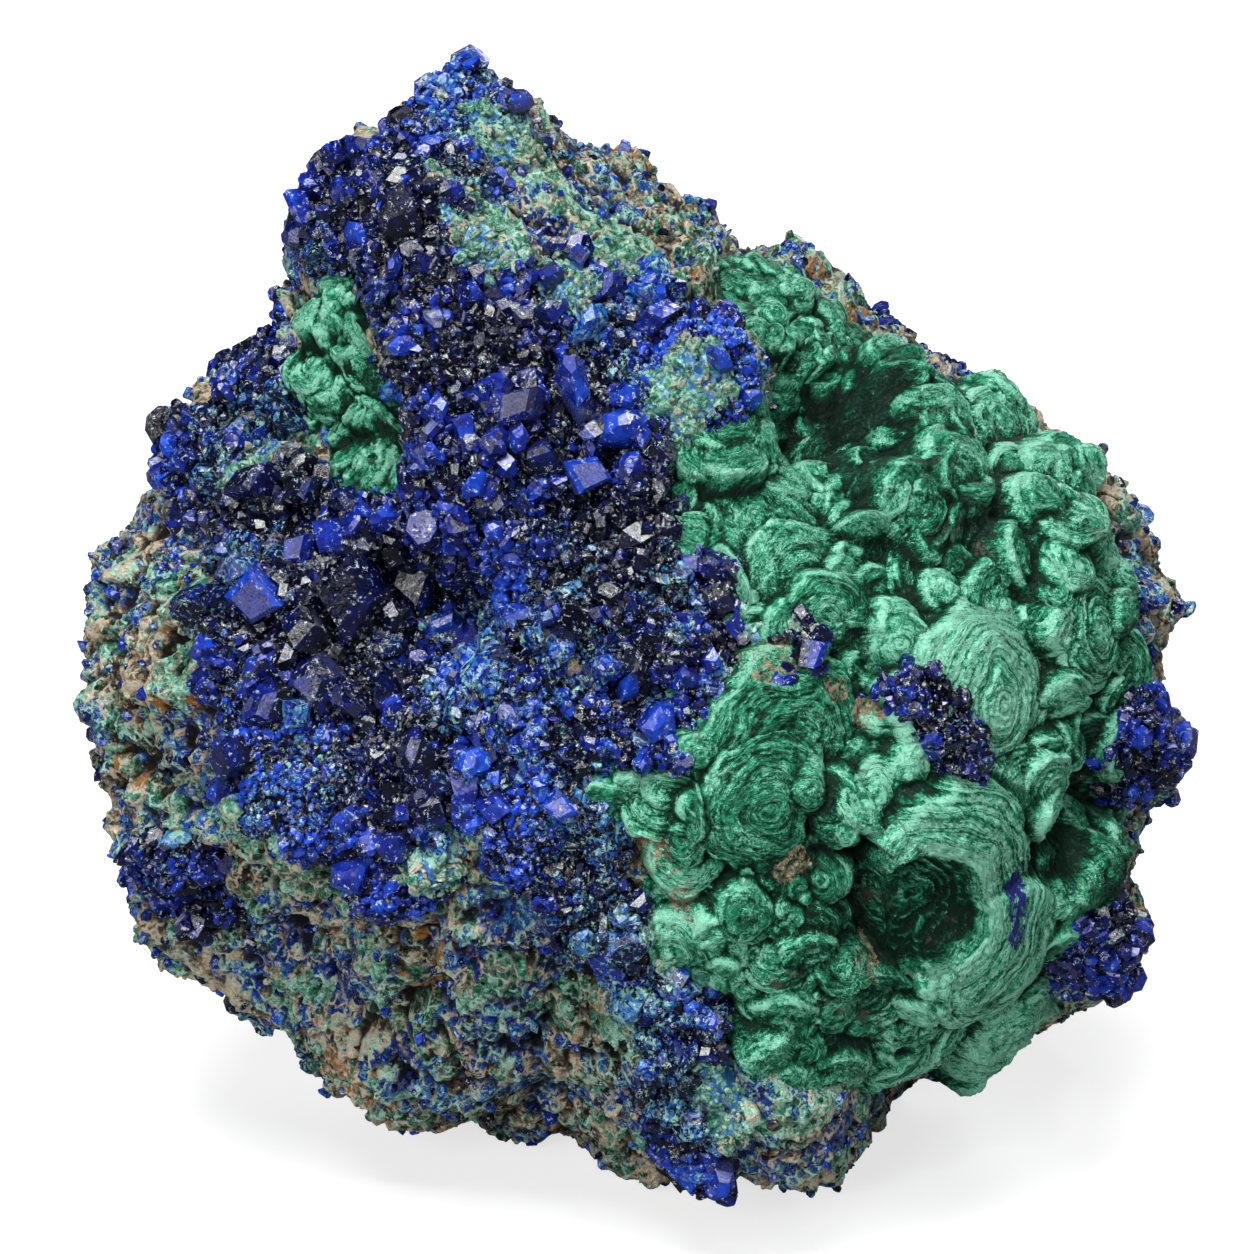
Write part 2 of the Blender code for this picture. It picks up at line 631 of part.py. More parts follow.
def grown_crystals(name, radius_of, crystals, rng):
    """Crystals set in a skin with their tops pointing out of it, as separate objects."""
    made = []
    turn_to_world = Matrix(face_axes().T.tolist()).to_4x4()
    for number, (x, y, size, turn, lean, side) in enumerate(crystals):
        direction = toward(x, y, side, form_radius)
        outward = Vector(direction)
        sunk = outward * (radius_of(direction[None, :])[0] - CRYSTAL_SINK * size)
        crystal = object_from(
            crystal_mesh(f"{name}_crystal_{number}", size, rng),
            f"{name}_crystal_{number}",
            collection_named("shaping"),
        )
        stance = outward.to_track_quat("Z", "Y").to_matrix().to_4x4()
        spin = Matrix.Rotation(math.radians(turn), 4, "Z") @ Matrix.Rotation(math.radians(lean), 4, "X")
        crystal.matrix_world = (
            Matrix.Translation(Vector(CENTRE) * MM)
            @ turn_to_world
            @ Matrix.Translation(sunk * MM)
            @ stance
            @ spin
        )
        made.append(crystal)
    return made


def join_crystals(crust, crystals):
    """Fuses the crystals with the crust that they grew from, and removes the loose ones."""
    group = bpy.data.collections.new(crust.name + "_crystals")
    for crystal in crystals:
        group.objects.link(crystal)
    step = crust.modifiers.new("grown", "BOOLEAN")
    step.operation = "UNION"
    step.solver = "EXACT"
    step.operand_type = "COLLECTION"
    step.collection = group
    applied(crust)
    for crystal in crystals:
        bpy.data.objects.remove(crystal)
    bpy.data.collections.remove(group)
    return crust


def scattered(patches, count, size, rng):
    """Seeded places for crystals inside round patches: (x, y, size, turn, lean, side)."""
    places = []
    for number in range(count):
        x, y, radius, side = patches[number % len(patches)]
        angle, reach = rng.uniform(0.0, 2.0 * math.pi), radius * 0.7 * math.sqrt(rng.uniform())
        share = size * rng.uniform(0.8, 1.25)
        turn, lean = rng.uniform(0.0, 90.0), rng.uniform(10.0, 45.0)
        places.append((x + reach * math.cos(angle), y + reach * math.sin(angle), share, turn, lean, side))
    return places


def azurite_piece(name, radius_of, crystals, cutters, rng):
    """A crust with its crystals, seated on whatever the cutters stand for."""
    crust = skin_on_sphere(name, radius_of, AZURITE_KEEP)
    join_crystals(crust, grown_crystals(name, radius_of, crystals, rng))
    return cut_by(crust, cutters)


def build_specimen():
    rng = np.random.default_rng(7)
    rock = skin_on_sphere("host_rock", rock_radius, ROCK_KEEP)
    settle_flat(rock)
    rock_seat = swollen_copy(rock, CLEARANCE)

    mass = skin_on_sphere("malachite_mass", malachite_radius, MALACHITE_KEEP)
    mass_seat = swollen_copy(mass, CLEARANCE)
    seam = skin_on_sphere("malachite_seam", seam_radius, MALACHITE_KEEP)
    seam_seat = swollen_copy(seam, CLEARANCE)
    nodules = skin_on_sphere("malachite_nodules", nodule_radius, MALACHITE_KEEP)
    nodule_seat = swollen_copy(nodules, CLEARANCE)
    cut_by(mass, [rock_seat])
    cut_by(seam, [rock_seat])
    cut_by(nodules, [rock_seat, mass_seat])
    minerals = {"malachite": [mass, seam, nodules], "azurite": []}

    large = [(x, y, size, turn, lean, 1) for x, y, size, turn, lean in LARGE_CRYSTALS]
    seats = [rock_seat, mass_seat, seam_seat, nodule_seat]

    druse_radius = partial(crust_radius, patches=druse_patches())
    minerals["azurite"].append(azurite_piece("azurite_druse", druse_radius, large, seats, rng))
    for name, (patches, count, size) in OUTLYING_CLUSTERS.items():
        cluster_radius = partial(crust_radius, patches=patches)
        crystals = scattered(patches, count, size, rng)
        minerals["azurite"].append(azurite_piece(name, cluster_radius, crystals, seats, rng))
    crystals = scattered(*KNOT_ON_MALACHITE, rng)
    minerals["azurite"].append(azurite_piece("azurite_knot", knot_radius, crystals, seats, rng))

    finishes = {"malachite": MALACHITE_FINISH, "azurite": AZURITE_FINISH}
    rock.data.materials.append(finish_of("host_rock", *ROCK_FINISH))
    for mineral, pieces in minerals.items():
        for piece in pieces:
            piece.data.materials.clear()
            piece.data.materials.append(finish_of(mineral, *finishes[mineral]))
    specimen = collection_named("azurite_specimen")
    for piece in [rock, *minerals["malachite"], *minerals["azurite"]]:
        for holder in list(piece.users_collection):
            holder.objects.unlink(piece)
        specimen.objects.link(piece)


def main():
    for old in list(bpy.data.objects):
        bpy.data.objects.remove(old)
    build_specimen()


main()
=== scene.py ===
"""Looks of an azurite and malachite specimen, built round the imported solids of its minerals.

Lengths are in millimetres until a mesh is made, and then in metres. Places on the stone are (x, y)
of the face plane through the stone's centre, which leans back from the upright: x runs right and y
up the face, as an eye in front of that plane sees them. Each mineral's skin is a distance from the
stone's centre for every direction, so that it follows the solid that it stands for.
"""

from __future__ import annotations

import logging
import math
from collections.abc import Callable, Sequence
from dataclasses import dataclass, field
from enum import Enum
from functools import cached_property

import bpy
import numpy as np
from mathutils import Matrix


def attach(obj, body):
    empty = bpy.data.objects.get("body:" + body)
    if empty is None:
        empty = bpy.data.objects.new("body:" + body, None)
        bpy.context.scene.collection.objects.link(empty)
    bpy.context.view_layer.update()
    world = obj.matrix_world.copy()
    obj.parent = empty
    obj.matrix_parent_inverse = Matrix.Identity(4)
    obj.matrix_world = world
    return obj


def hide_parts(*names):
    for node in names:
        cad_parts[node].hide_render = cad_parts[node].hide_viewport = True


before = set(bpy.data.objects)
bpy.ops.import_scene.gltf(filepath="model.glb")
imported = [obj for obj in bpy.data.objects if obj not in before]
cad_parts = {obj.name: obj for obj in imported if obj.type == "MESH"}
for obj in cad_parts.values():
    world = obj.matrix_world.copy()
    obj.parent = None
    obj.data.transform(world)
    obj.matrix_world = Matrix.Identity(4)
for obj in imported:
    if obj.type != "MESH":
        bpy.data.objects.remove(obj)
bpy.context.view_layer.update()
LOG = logging.getLogger("azurite_specimen")
MM = 0.001
MOST_FACETS = 40  # flat faces that one grain or crystal may have
Array = np.ndarray
Colour = tuple[float, float, float]

# ------------------------------------------------------------------ tables of the stone's form

# Outline across the face plane: (degrees round from +x towards +y, radius).
OUTLINE = (
    (0, 51.5), (5, 53.5), (15, 52.5), (20, 49.5), (25, 48.5), (30, 44.5), (38, 40), (45, 38.5), (55, 38.5),
    (68, 41), (75, 40), (80, 45), (90, 50.5), (95, 51.5), (100, 55.5), (105, 59), (110, 57), (120, 55),
    (126, 53), (131, 49.5), (135, 43), (141, 40.5), (150, 45), (160, 44.5), (170, 49.5), (185, 51.5),
    (195, 50.5), (200, 49.5), (205, 53), (212, 51), (220, 48.5), (230, 50), (240, 52), (250, 49.5),
    (258, 46.5), (265, 45.5), (272, 49), (280, 52), (290, 54), (296, 52), (301, 48), (310, 49.5), (320, 56),
    (325, 57), (330, 57), (336, 51.5), (341, 50.5), (348, 54), (354, 51),
)

# Swellings and hollows of the show face and of the far side: (x, y, reach, rise).
RELIEF = (
    (-22, 4, 8, -9),  # the deep pocket of dark crystals
    (-16, 4, 5, -5),
    (-30, 14, 5.5, -4),  # the shelf above it
    (-34, 15, 4, -2.5),
    (-26, 27, 6, -5),  # the green seam's recess
    (-23, 21, 5, -4),
    (-33, 33, 5, 2),  # its left wall
    (-33, 25, 5, 2),
    (-19, 40, 5, 2.5),  # brow over the seam
    (-7, 27, 8, -3),  # the valley that the druse runs down
    (-5, 12, 6, -3.5),
    (8, 26, 6, 4),  # ridge between the valley and the green mass
    (2, 38, 8, 2),
    (-8, -6, 8, 3),
    (-18, -2, 5, 2),
    (-31, -12, 8, 4),  # lower left shoulder
    (-46, 0, 8, 2),
    (26, -15, 22, 4),  # the whole green mass stands proud
    (21, 22, 6, -8),  # its cave
    (25, 5, 4, -4.5),
    (33, 7, 4, -4.5),
    (45.5, -14, 5, -5),
    (12, -43, 10, 4),  # front foot
    (-20, -36, 9, -2),
    (-34, -30, 9, -2.5),
    (0, -30, 6, -1.5),
    (30, -45, 8, -4),
)
BACK_RELIEF = (
    (-20, 30, 14, 4),
    (22, 14, 15, 4),
    (6, -20, 16, 3),
    (-30, -12, 13, 3),
    (0, 12, 9, -6),
    (34, -20, 9, -4),
    (-24, -40, 12, 9),  # the two feet behind the front one
    (-15, -44, 11, 6),
    (26, -39, 12, 8),
    (0, -42, 10, 4),
)

# Edge of the crystal crust at lower left, (x, y), below which the rock is set back.
LEDGE = ((-52, -18), (-42, -18.5), (-33, -20), (-28, -24), (-16, -26), (-4, -28))

# Flat breaks across the far side: (outward normal in the face frame, distance from the centre).
BREAKS = (
    ((-0.45, 0.35, -0.82), 31),
    ((0.40, 0.42, -0.81), 32),
    ((0.15, -0.30, -0.94), 33),
    ((-0.75, -0.15, -0.65), 42),
    ((0.80, -0.10, -0.60), 44.5),
    ((0.10, 0.85, -0.50), 40.5),
    ((-0.35, -0.75, -0.55), 43),
)

# Lumps of the rock: (width, height, channel of the noise).
LUMPS = ((12, 3.6, 11), (6.2, 1.7, 21))

# Domes of malachite: (x, y, radius, standing out of the stone, strength of the bands, paleness).
MALACHITE_DOMES = (
    (8.5, 13.5, 8.5, 1.6, 0.2, 0.45), (14, 11.5, 10.5, 2.4, 0.2, 0.5), (18.5, 7, 8.5, 2.4, 0.5, 0.5),
    (10, 20, 5, 2, 0.2, 0.4), (23, 26.5, 4.5, 2.2, 0.3, 0.2), (30.5, 22, 8.6, 4.2, 1, 0.35),
    (29, 13, 5.5, 3, 0.3, 0.3), (34, 10, 4.5, 2.2, 0.2, 0.35), (22.5, 14, 4, 2, 0.1, 0.3),
    (38, 22, 6, 2, 0.4, 0.7), (43, 15.5, 7.5, 2.6, 0.3, 0.6), (37.5, 5, 4.5, 2, 0.3, 0.3),
    (45, 2.5, 8.8, 3.8, 1, 0.75), (48.5, -5, 5, 2, 0.4, 0.4), (34.5, -4.5, 10.5, 4.8, 0.95, 1.2),
    (29, 0, 5.5, 1.4, 0.4, 0.5), (15.5, -9.5, 12, 4.2, 0.35, 0.34), (13.4, -14.4, 7.2, 6.4, 0.45, 0.3),
    (7, -14, 5.5, 2.6, 0.1, 0.7), (1.5, -15.5, 4.5, 1.8, 0.1, 0.45), (20, -20, 6, 2, 0.1, 0.3),
    (31.5, -22, 13, 4.8, 0.85, 0.9), (38, -14, 7, 3.4, 0.6, 0.9), (36.5, -30, 12, 3.6, 0.6, 0.95),
    (38, -37, 8, 2.2, 0.4, 0.9), (28, -36.5, 9, 3.2, 0.4, 0.6), (14, -27.5, 9, 3, 0.2, 0.7),
    (20.5, -33, 8.5, 3.4, 0.2, 0.6), (9, -22, 5.5, 2.2, 0.1, 0.7), (45.5, -24, 6.5, 2.4, 0.4, 0.35),
    (46.5, -17.5, 5, 2.2, 0.3, 0.3),
)

# Broad even shells on which no small ones grow: (x, y, radius).
QUIET_SHELLS = (
    (34.5, -4, 8.5), (45.5, 1.5, 7), (31.5, -22, 11), (36.5, -31, 9), (13.4, -14.4, 5.5), (15.5, -6, 7.5),
    (14, 11, 6.5), (8.5, 14, 4), (30.5, 23, 5), (27, -24.4, 6),
)

# The ground between the domes, which closes the mass: (x, y, radius).
MALACHITE_GROUND = (
    (12, 14, 9), (20, 21.5, 8), (31, 15, 13), (41, 8, 13), (26, 3, 9), (30, -8, 15), (42, -10, 12),
    (20, -18, 14), (32, -26, 13), (42, -22, 9), (8, -15, 7), (44, -17, 8), (47, -14, 7),
)

# Bowls broken into the domes: (x, y, radius, height of the bowl's centre above the stone, width of
# the rim that curls round it, bearing of the rim's middle).
MALACHITE_BOWLS = (
    (22, -24.5, 5.4, 5.2, 0, 0), (27.4, -24.2, 7, 6.4, 9, 20), (20.5, -17.5, 3.4, 3.6, 0, 0),
    (19.5, 21.5, 4.6, 1, 0, 0), (44.5, -13.5, 4.2, 2.4, 0, 0),
)

# Earth and a little azurite lodged between the domes: (x, y, radius).
LODGED_EARTH = (
    (12.5, -1, 1.7), (15.6, -0.8, 1.5), (20.6, -3.2, 1.7), (23.6, -5.6, 1.4), (16, -18.8, 1.8),
    (22.6, -28.4, 1.6), (41.6, -16, 1.4), (2.6, -19.4, 2), (5.6, -22.6, 1.8),
)
LODGED_AZURITE = ((37.4, -24, 1.3), (37, -26.2, 1.1), (37.9, -22.2, 0.9), (18, -0.6, 1.6))

# Dark hollows and lumps of the malachite: (x, y, radius).
MALACHITE_SHADE = (
    (17, -23.5, 5.5), (21.5, -28, 4.5), (20.5, -16, 4), (23.5, -20, 3), (45.5, -13, 5), (44, -19.5, 3.5),
    (19, 21, 4.5), (30.5, 13.5, 4.5), (36, 12, 3), (48, 2.5, 3), (25.5, 17, 3), (24, 1, 2.5), (33, 18.5, 3),
    (38.5, 4.5, 2.5), (41.5, 10.5, 2),
)

# Small growths in the bowls and on the shelves: (x, y, radius, depth below the stone, bands, paleness).
SMALL_DOMES = (
    (22.2, 20.3, 2.5, 3.2, 0.5, 0.75), (20.6, 23.4, 1.8, 3, 0.2, 0.45), (17.6, 24.6, 1.8, 2.4, 0.2, 0.3),
    (19.4, -21.5, 4.4, 2.4, 0.15, 0.12), (19.2, -27, 4.6, 2.2, 0.15, 0.2),
    (23.6, -29.5, 3.6, 2.2, 0.2, 0.25), (23, -25, 3, 4.4, 0.1, 0.05), (27.8, -21, 3.2, 5, 0.1, 0.02),
    (28.4, -26.2, 3.2, 5, 0.1, 0.02), (20, 5, 2.6, -0.6, 0.8, 0.45), (23.5, 4.4, 2.8, 0.2, 0.8, 0.4),
    (27, 4.6, 2.8, -0.2, 0.8, 0.5), (31, 4.4, 2.8, -0.4, 0.8, 0.5), (34.5, 5.6, 2.6, -0.2, 0.7, 0.45),
    (29, 8.4, 2.4, 0.4, 0.5, 0.4), (25.5, 8.2, 2.4, 0.6, 0.5, 0.3), (43.8, -10.5, 2.6, 1.4, 0.1, 0.1),
    (46, -13, 2.4, 1.6, 0.1, 0.08), (43.8, -15.4, 2.6, 1.4, 0.1, 0.12), (47.6, 3.8, 2.6, -1.8, 0.4, 0.05),
    (10.8, -16.8, 3, -1.6, 0.4, 0.6), (17.5, -13, 3.2, -2.2, 0.5, 0.55), (12, -9.4, 2.8, -2.4, 0.5, 0.25),
    (41, 18.5, 2.6, -1, 0.3, 0.6), (39.4, 14.5, 2.8, -1, 0.3, 0.5), (45.2, 18, 2.4, -1, 0.3, 0.65),
    (43.5, 11.5, 2.6, -1.2, 0.3, 0.5), (30.4, 16.4, 2.4, -1.2, 0.2, 0.4), (33.6, 13.8, 2.4, -1, 0.2, 0.55),
    (26.8, 15.6, 2.2, -0.8, 0.2, 0.35),
)

# Lobes of the smooth green seam, and dark nodules of the upper rim, as the domes are given.
SEAM_LOBES = (
    (-28.6, 35.5, 3.6, 1.2, 0, 0.4), (-28.5, 31, 5.5, 1.4, 0, 0.42), (-26, 25.5, 5.5, 1.8, 0, 0.36),
    (-22.5, 21.5, 5, 1.6, 0, 0.3), (-26, 18, 5, 1.2, 0, 0.3), (-20.5, 15.5, 3.6, 1.2, 0, 0.3),
)
TOP_NODULES = (
    (12, 36.5, 3.8, 2.2, 0, 0.1), (15.5, 35, 4, 2.6, 0, 0.15), (18.7, 33, 3.8, 2.2, 0, 0.1),
    (21.5, 30.5, 3.6, 2, 0, 0.15), (13.5, 32, 3.6, 2, 0, 0.25), (17.5, 30, 3.4, 1.8, 0, 0.2),
)
NODULE_GROUND = ((14.5, 34, 5), (18.5, 32, 5))

# Patches of the azurite crust: (x, y, radius).
DRUSE_PATCHES = (
    (-13.5, 53, 6), (-17.5, 48, 7), (-21, 43, 7), (-27, 41.5, 5.5), (-20, 38, 6), (-13, 34, 6.5),
    (-7, 31, 7), (-1, 29, 7.5), (-10, 24, 8), (-3, 19, 9), (6.5, 26.5, 6), (-18, 27.5, 4), (-17, 21, 4),
    (-13, 14, 7.5), (-2, 8, 10), (7, 4, 7), (14, 1, 4.5), (3, -4.5, 7), (-12, 0, 9), (-24, 4, 11),
    (-33, 12, 7.5), (-40, 18, 6), (-33, 25, 5), (-36, 2, 8), (-31, -10, 10), (-21, -9, 9), (-10, -11, 8),
    (-6, -18, 6.5), (-22, -19, 6.5), (-2, -25, 5), (2, -31, 4.5), (5, -36.5, 5), (7, -43, 4.5), (6, -48, 4),
)

# Azurite growing by itself elsewhere: node and its patches (x, y, radius), with -1 on the far side.
OUTLYING_CLUSTERS = {
    "azurite_cluster_right": ((49.5, -8, 5), (50.5, -10, 5.5), (51.6, -9, 5)),
    "azurite_cluster_corner": ((46.5, -28, 5), (48, -28.5, 5)),
    "azurite_cluster_upper": ((24, 28, 4.4, -1), (27, 25.5, 3.6, -1)),
    "azurite_cluster_left": ((-30.5, 25, 4.4, -1), (-29.5, 29, 4.6, -1)),
    "azurite_cluster_low_left": ((-43.5, -21, 4.6), (-41, -25, 3.6)),
}
KNOT_PATCHES = ((26.6, -3.6, 2.2), (28.8, -6, 2.6), (31, -8.6, 2.5), (32.4, -10, 1.5))

# The largest azurite crystals: (x, y, size, turn, lean, tone from black to cobalt, frost on top).
LARGE_CRYSTALS = (
    (-20.5, 40, 6.6, 10, 8, 0, 0.04), (-24.5, 39.3, 3.6, 70, 35, 0.9, 0), (-20.5, 35, 4, 30, 40, 0.75, 0.1),
    (-3.8, 23.5, 7.2, 20, 15, 0.8, 0.95), (0.3, 21, 5.4, 65, 40, 0.95, 0),
    (-8.6, 20.8, 4.8, 40, 25, 0.45, 0.7), (-3.4, 16, 4.8, 20, 32, 0.9, 0.8),
    (-6.8, 17.2, 4.2, 80, 50, 0.15, 0.5), (-11, 18.5, 3.6, 15, 45, 0.6, 0.2),
    (-14, 20, 3.4, 50, 20, 0.75, 0.2), (-25, 5.5, 8.6, 35, 18, 0.1, 0.04), (-20, 6, 6.2, 80, 35, 0.08, 0),
    (-29.5, 2, 5.6, 10, 30, 0.12, 0), (-26, 10, 5, 55, 25, 0.7, 0.1), (-29.5, 9.2, 4.4, 5, 42, 0.6, 0.2),
    (-33, 5.5, 4.6, 25, 38, 0.8, 1), (-33.5, 15.5, 5, 45, 20, 0.12, 0.1),
    (-29, 14.5, 4.6, 70, 30, 0.1, 0.1), (-25, 13.5, 3.8, 20, 25, 0.15, 0.2),
    (-29, -3, 5.8, 30, 35, 0.3, 0.9), (-32.5, -5, 5, 65, 30, 0.35, 0.9),
    (-25.5, -4.5, 4.8, 15, 45, 0.25, 0.8), (-22, -4, 4.2, 45, 30, 0.5, 1),
    (-36, -10, 4.6, 75, 25, 0.3, 0.2), (-16, 0.5, 4.4, 60, 30, 0.5, 0.9), (1, -3.6, 4.6, 20, 40, 0.9, 0.85),
    (3.5, -6.5, 4.2, 50, 30, 0.98, 0.1), (-24.5, -20.5, 5.4, 15, 30, 0.8, 0.1),
    (-20.5, -17.5, 4.2, 60, 40, 0.65, 0.2), (-43.5, 21.5, 4.4, 25, 30, 0.95, 0.1),
    (-41, 19.5, 3.8, 70, 35, 0.1, 0.4), (-36.8, 28, 4.4, 40, 25, 0.08, 0.5),
    (-40.5, 13, 4, 15, 40, 0.5, 0.2), (-6, 33.5, 3.2, 60, 25, 0.5, 0.2), (9, 26, 3.6, 45, 25, 0.95, 0),
    (12, 23.5, 3.2, 20, 30, 0.9, 0), (6.5, 8, 3, 55, 25, 0.6, 0.1), (11, 2.5, 3, 75, 20, 0.6, 0.1),
    (-11.5, -14, 3.4, 30, 30, 0.6, 0.1), (2.5, -34, 3.2, 60, 30, 0.4, 0.1),
)

# ------------------------------------------------------------------ tables of colour

# Patches of pale mint crust on the rock and on the blue crust: (x, y, radius).
MINT_PATCHES = (
    (-10, 50, 5), (-7, 46, 4.5), (-14, 44, 3), (-11, 40.5, 4.5), (0, 42, 4.5), (3, 38.5, 4),
    (-4, 33.5, 3.5), (8, 42, 3.5), (5.5, 23.5, 3.5), (-31.5, 34, 2.2), (-21, 17, 3.2), (-35, 18.5, 3.5),
    (-47.5, 8, 4), (-46.5, -2, 3.2), (-43, -16, 5), (-38, -17, 4.5), (-33.5, -19.5, 3.5),
    (-15.5, -17.5, 2.8), (-17, -20, 2.5), (14.5, 4.5, 3), (11, -42, 4), (17, -43, 3.5), (-9, -32.5, 4),
    (-13, -34, 3.5), (4, -27, 3), (-24, -29, 2.5), (0, -37, 3), (25, -42, 3.5), (-30, -33, 3), (-2, -44, 3),
    (22, -46, 3),
)
BLUE_PATCHES = (
    (-28, 44, 5), (-32, 39, 5), (-44, 12.5, 4), (-47, -9, 4), (-41, -9, 4), (-44, -22, 6), (-29, -25, 3),
    (-27, -33, 4.5), (-34, -28, 4), (-17, -27, 4), (-10, -26, 4), (-4, -30, 3.5), (10, -31, 3.5),
    (2, -46, 5), (10, -49, 4), (15, -36, 3), (-22, -42, 3.5), (-13, -43, 3), (10, 47, 3), (9, 41, 2.5),
    (-30.5, 23.5, 2.5), (51, 8, 4.5), (51, 2, 3.5), (-6, 42.5, 3), (-2, 46.5, 3),
)
VELVET_PATCHES = (  # bright cobalt crystals, finer than the rest
    (-17, 51.5, 4.5), (-20.5, 40.5, 2.5), (-14, 1, 5), (-30.5, -12, 7), (-29, -18, 5), (-9.5, -17.5, 4),
    (9, 25.5, 6.5), (5, 29, 4.5), (-5.5, 41, 3.5), (-3, -30, 3.5), (2, -46.5, 4.5), (-46, -21, 4.5),
    (52, 4, 5), (52, -8, 4), (1.5, -4.5, 3.5), (-10, 6, 3), (-44, 22, 3.5), (-20, -24, 3), (-2, 16.5, 3),
    (-4, 24, 2),
)
SHADE_PATCHES = (  # near-black crystals and gaps
    (-25.5, 4.5, 7), (-23.5, -11.5, 5), (-32, 15.5, 6), (-2, 11, 5), (3.5, 12, 4), (-20, 5, 4),
    (-20.5, 40, 4), (-13, 27, 3.5), (-26, 11, 4), (-17, 45, 3), (-3, 4, 3.5), (4, 0, 3),
)
FILM_PATCHES = (  # azurite dusted with teal and mint
    (-15.5, 52, 6.5), (-14, 45, 5), (-27, 29, 6), (-31, 22, 5), (-38, 21, 5), (0, 31, 7), (8, 26, 5),
    (-13, 1, 6), (-4, 1, 7), (5, -8, 7), (-4, -14, 6), (-12, -18.5, 6.5), (-9, -24, 5), (0, -27, 6),
    (3, -34, 5.5), (6, -44, 6), (-32, -12, 5), (-37, 8, 5), (-35, -16, 4), (5, 5, 4),
)
GREEN_PATCHES = (
    (-33, -22.5, 4), (-28, -22, 4), (-22, -36, 4.5), (-38, -26, 4), (-7, -35, 4), (3, -40, 4),
    (18, -39, 4.5), (24, -41, 5), (5, 33, 4), (9, 36.5, 4), (12, 29, 5), (15, 26, 5), (-50, 3, 4),
    (-38, 20, 4), (-32, -40, 4), (14, -52, 4), (-33.5, 21.5, 3.5), (48, 12, 4), (50, -18, 5), (46, -33, 4),
)
CREAM_PATCHES = (  # paler, bare earth
    (-47, 10, 6), (-49.5, -2, 6), (-47, -14, 4), (-41, 7, 4), (-16, -31, 4), (3, 37, 5), (-20, -25.5, 3),
    (-38, -30, 5), (-26, -38, 5), (48, 16, 5),
)
OCHRE_PATCHES = (
    (-44.5, 8, 3), (-40, 5, 2.5), (7, 38, 2.6), (1, 34, 2.4), (46, 19, 3.5), (-26.5, -26, 2.5),
    (-21, -33, 2.5), (11, -35, 2.4), (9, -25.5, 2.2), (-30, 47, 2.4), (-50, -10, 3), (4, 35, 2),
)

# ------------------------------------------------------------------ noise


def lattice_value(ix: Array, iy: Array, iz: Array, channel: int) -> Array:
    """A repeatable number from 0 to 1 for each whole-number point.

    Args:
        ix: first coordinates, as unsigned 32-bit numbers.
        iy: second coordinates.
        iz: third coordinates.
        channel: which of many independent sets of numbers is read.

    Returns:
        One number for each point.
    """
    n = ix * np.uint32(374761393) + iy * np.uint32(668265263) + iz * np.uint32(974634777)
    n = n + np.uint32(channel * 1274126177 & 0xFFFFFFFF)
    n = (n ^ (n >> np.uint32(13))) * np.uint32(1274126177)
    n = (n ^ (n >> np.uint32(16))) * np.uint32(668265263)
    return (n ^ (n >> np.uint32(15))).astype(np.float64) / 4294967296.0


def smooth_noise(points: Array, size: float, channel: int) -> Array:
    """Noise from -1 to 1: values on a lattice, blended with a smooth step along each axis.

    Args:
        points: places, one row each.
        size: width of a lattice cell.
        channel: which set of lattice values is read.

    Returns:
        One value for each place.
    """
    scaled = points / size
    cell = np.floor(scaled)
    part = scaled - cell
    part = part * part * (3.0 - 2.0 * part)
    cell = cell.astype(np.int64).astype(np.uint32)
    total = np.zeros(len(points))
    for corner in range(8):
        step = (corner & 1, corner >> 1 & 1, corner >> 2 & 1)
        weight = np.ones(len(points))
        for axis in range(3):
            weight *= part[:, axis] if step[axis] else 1.0 - part[:, axis]
        at = [cell[:, axis] + np.uint32(step[axis]) for axis in range(3)]
        total += weight * lattice_value(*at, channel)
    return 2.0 * total - 1.0


def drift(points: Array, size: float, reach: float, channel: int) -> Array:
    """Places shifted by up to a reach in every direction, by three sets of smooth noise."""
    moved = [reach * smooth_noise(points, size, channel + axis) for axis in range(3)]
    return points + np.column_stack(moved)


def packed_lumps(points: Array, size: float, channel: int) -> tuple[Array, Array]:
    """Packed round lumps: 1 less the squared distance to the nearest of one seed a cell.

    Args:
        points: places, one row each.
        size: width of a cell, and so of a lump.
        channel: which set of seeds is read.

    Returns:
        The lump's height from 0 in the creases to 1 on the crowns, and a number from 0 to 1 that
        is the same all over one lump.
    """
    scaled = points / size
    cell = np.floor(scaled)
    scaled = scaled - cell
    cell = cell.astype(np.int64).astype(np.uint32)
    nearest = np.full(len(points), 9.0)
    tint = np.zeros(len(points))
    for index in range(27):
        step = (index % 3 - 1, index // 3 % 3 - 1, index // 9 - 1)
        at = [cell[:, axis] + np.uint32(step[axis] & 0xFFFFFFFF) for axis in range(3)]
        gap = np.zeros(len(points))
        for axis in range(3):
            gap += (lattice_value(*at, channel + axis) + step[axis] - scaled[:, axis]) ** 2
        closer = gap < nearest
        nearest = np.where(closer, gap, nearest)
        tint = np.where(closer, lattice_value(*at, channel + 3), tint)
    return np.clip(1.0 - nearest, 0.0, 1.0), tint


def smoothstep(low: float, high: float, value: Array) -> Array:
    """0 below low, 1 above high and a smooth rise between them."""
    t = np.clip((value - low) / (high - low), 0.0, 1.0)
    return t * t * (3.0 - 2.0 * t)


def unit(vectors: Array) -> Array:
    """Rows scaled to a length of 1."""
    return vectors / np.linalg.norm(vectors, axis=1)[:, None]


# ------------------------------------------------------------------ form of the stone


def sided(patches: Sequence[Sequence[float]]) -> Array:
    """Patches as rows of x, y, radius and side, which is 1 where a patch gives none."""
    return np.array([(*patch, 1)[:4] for patch in patches], float)


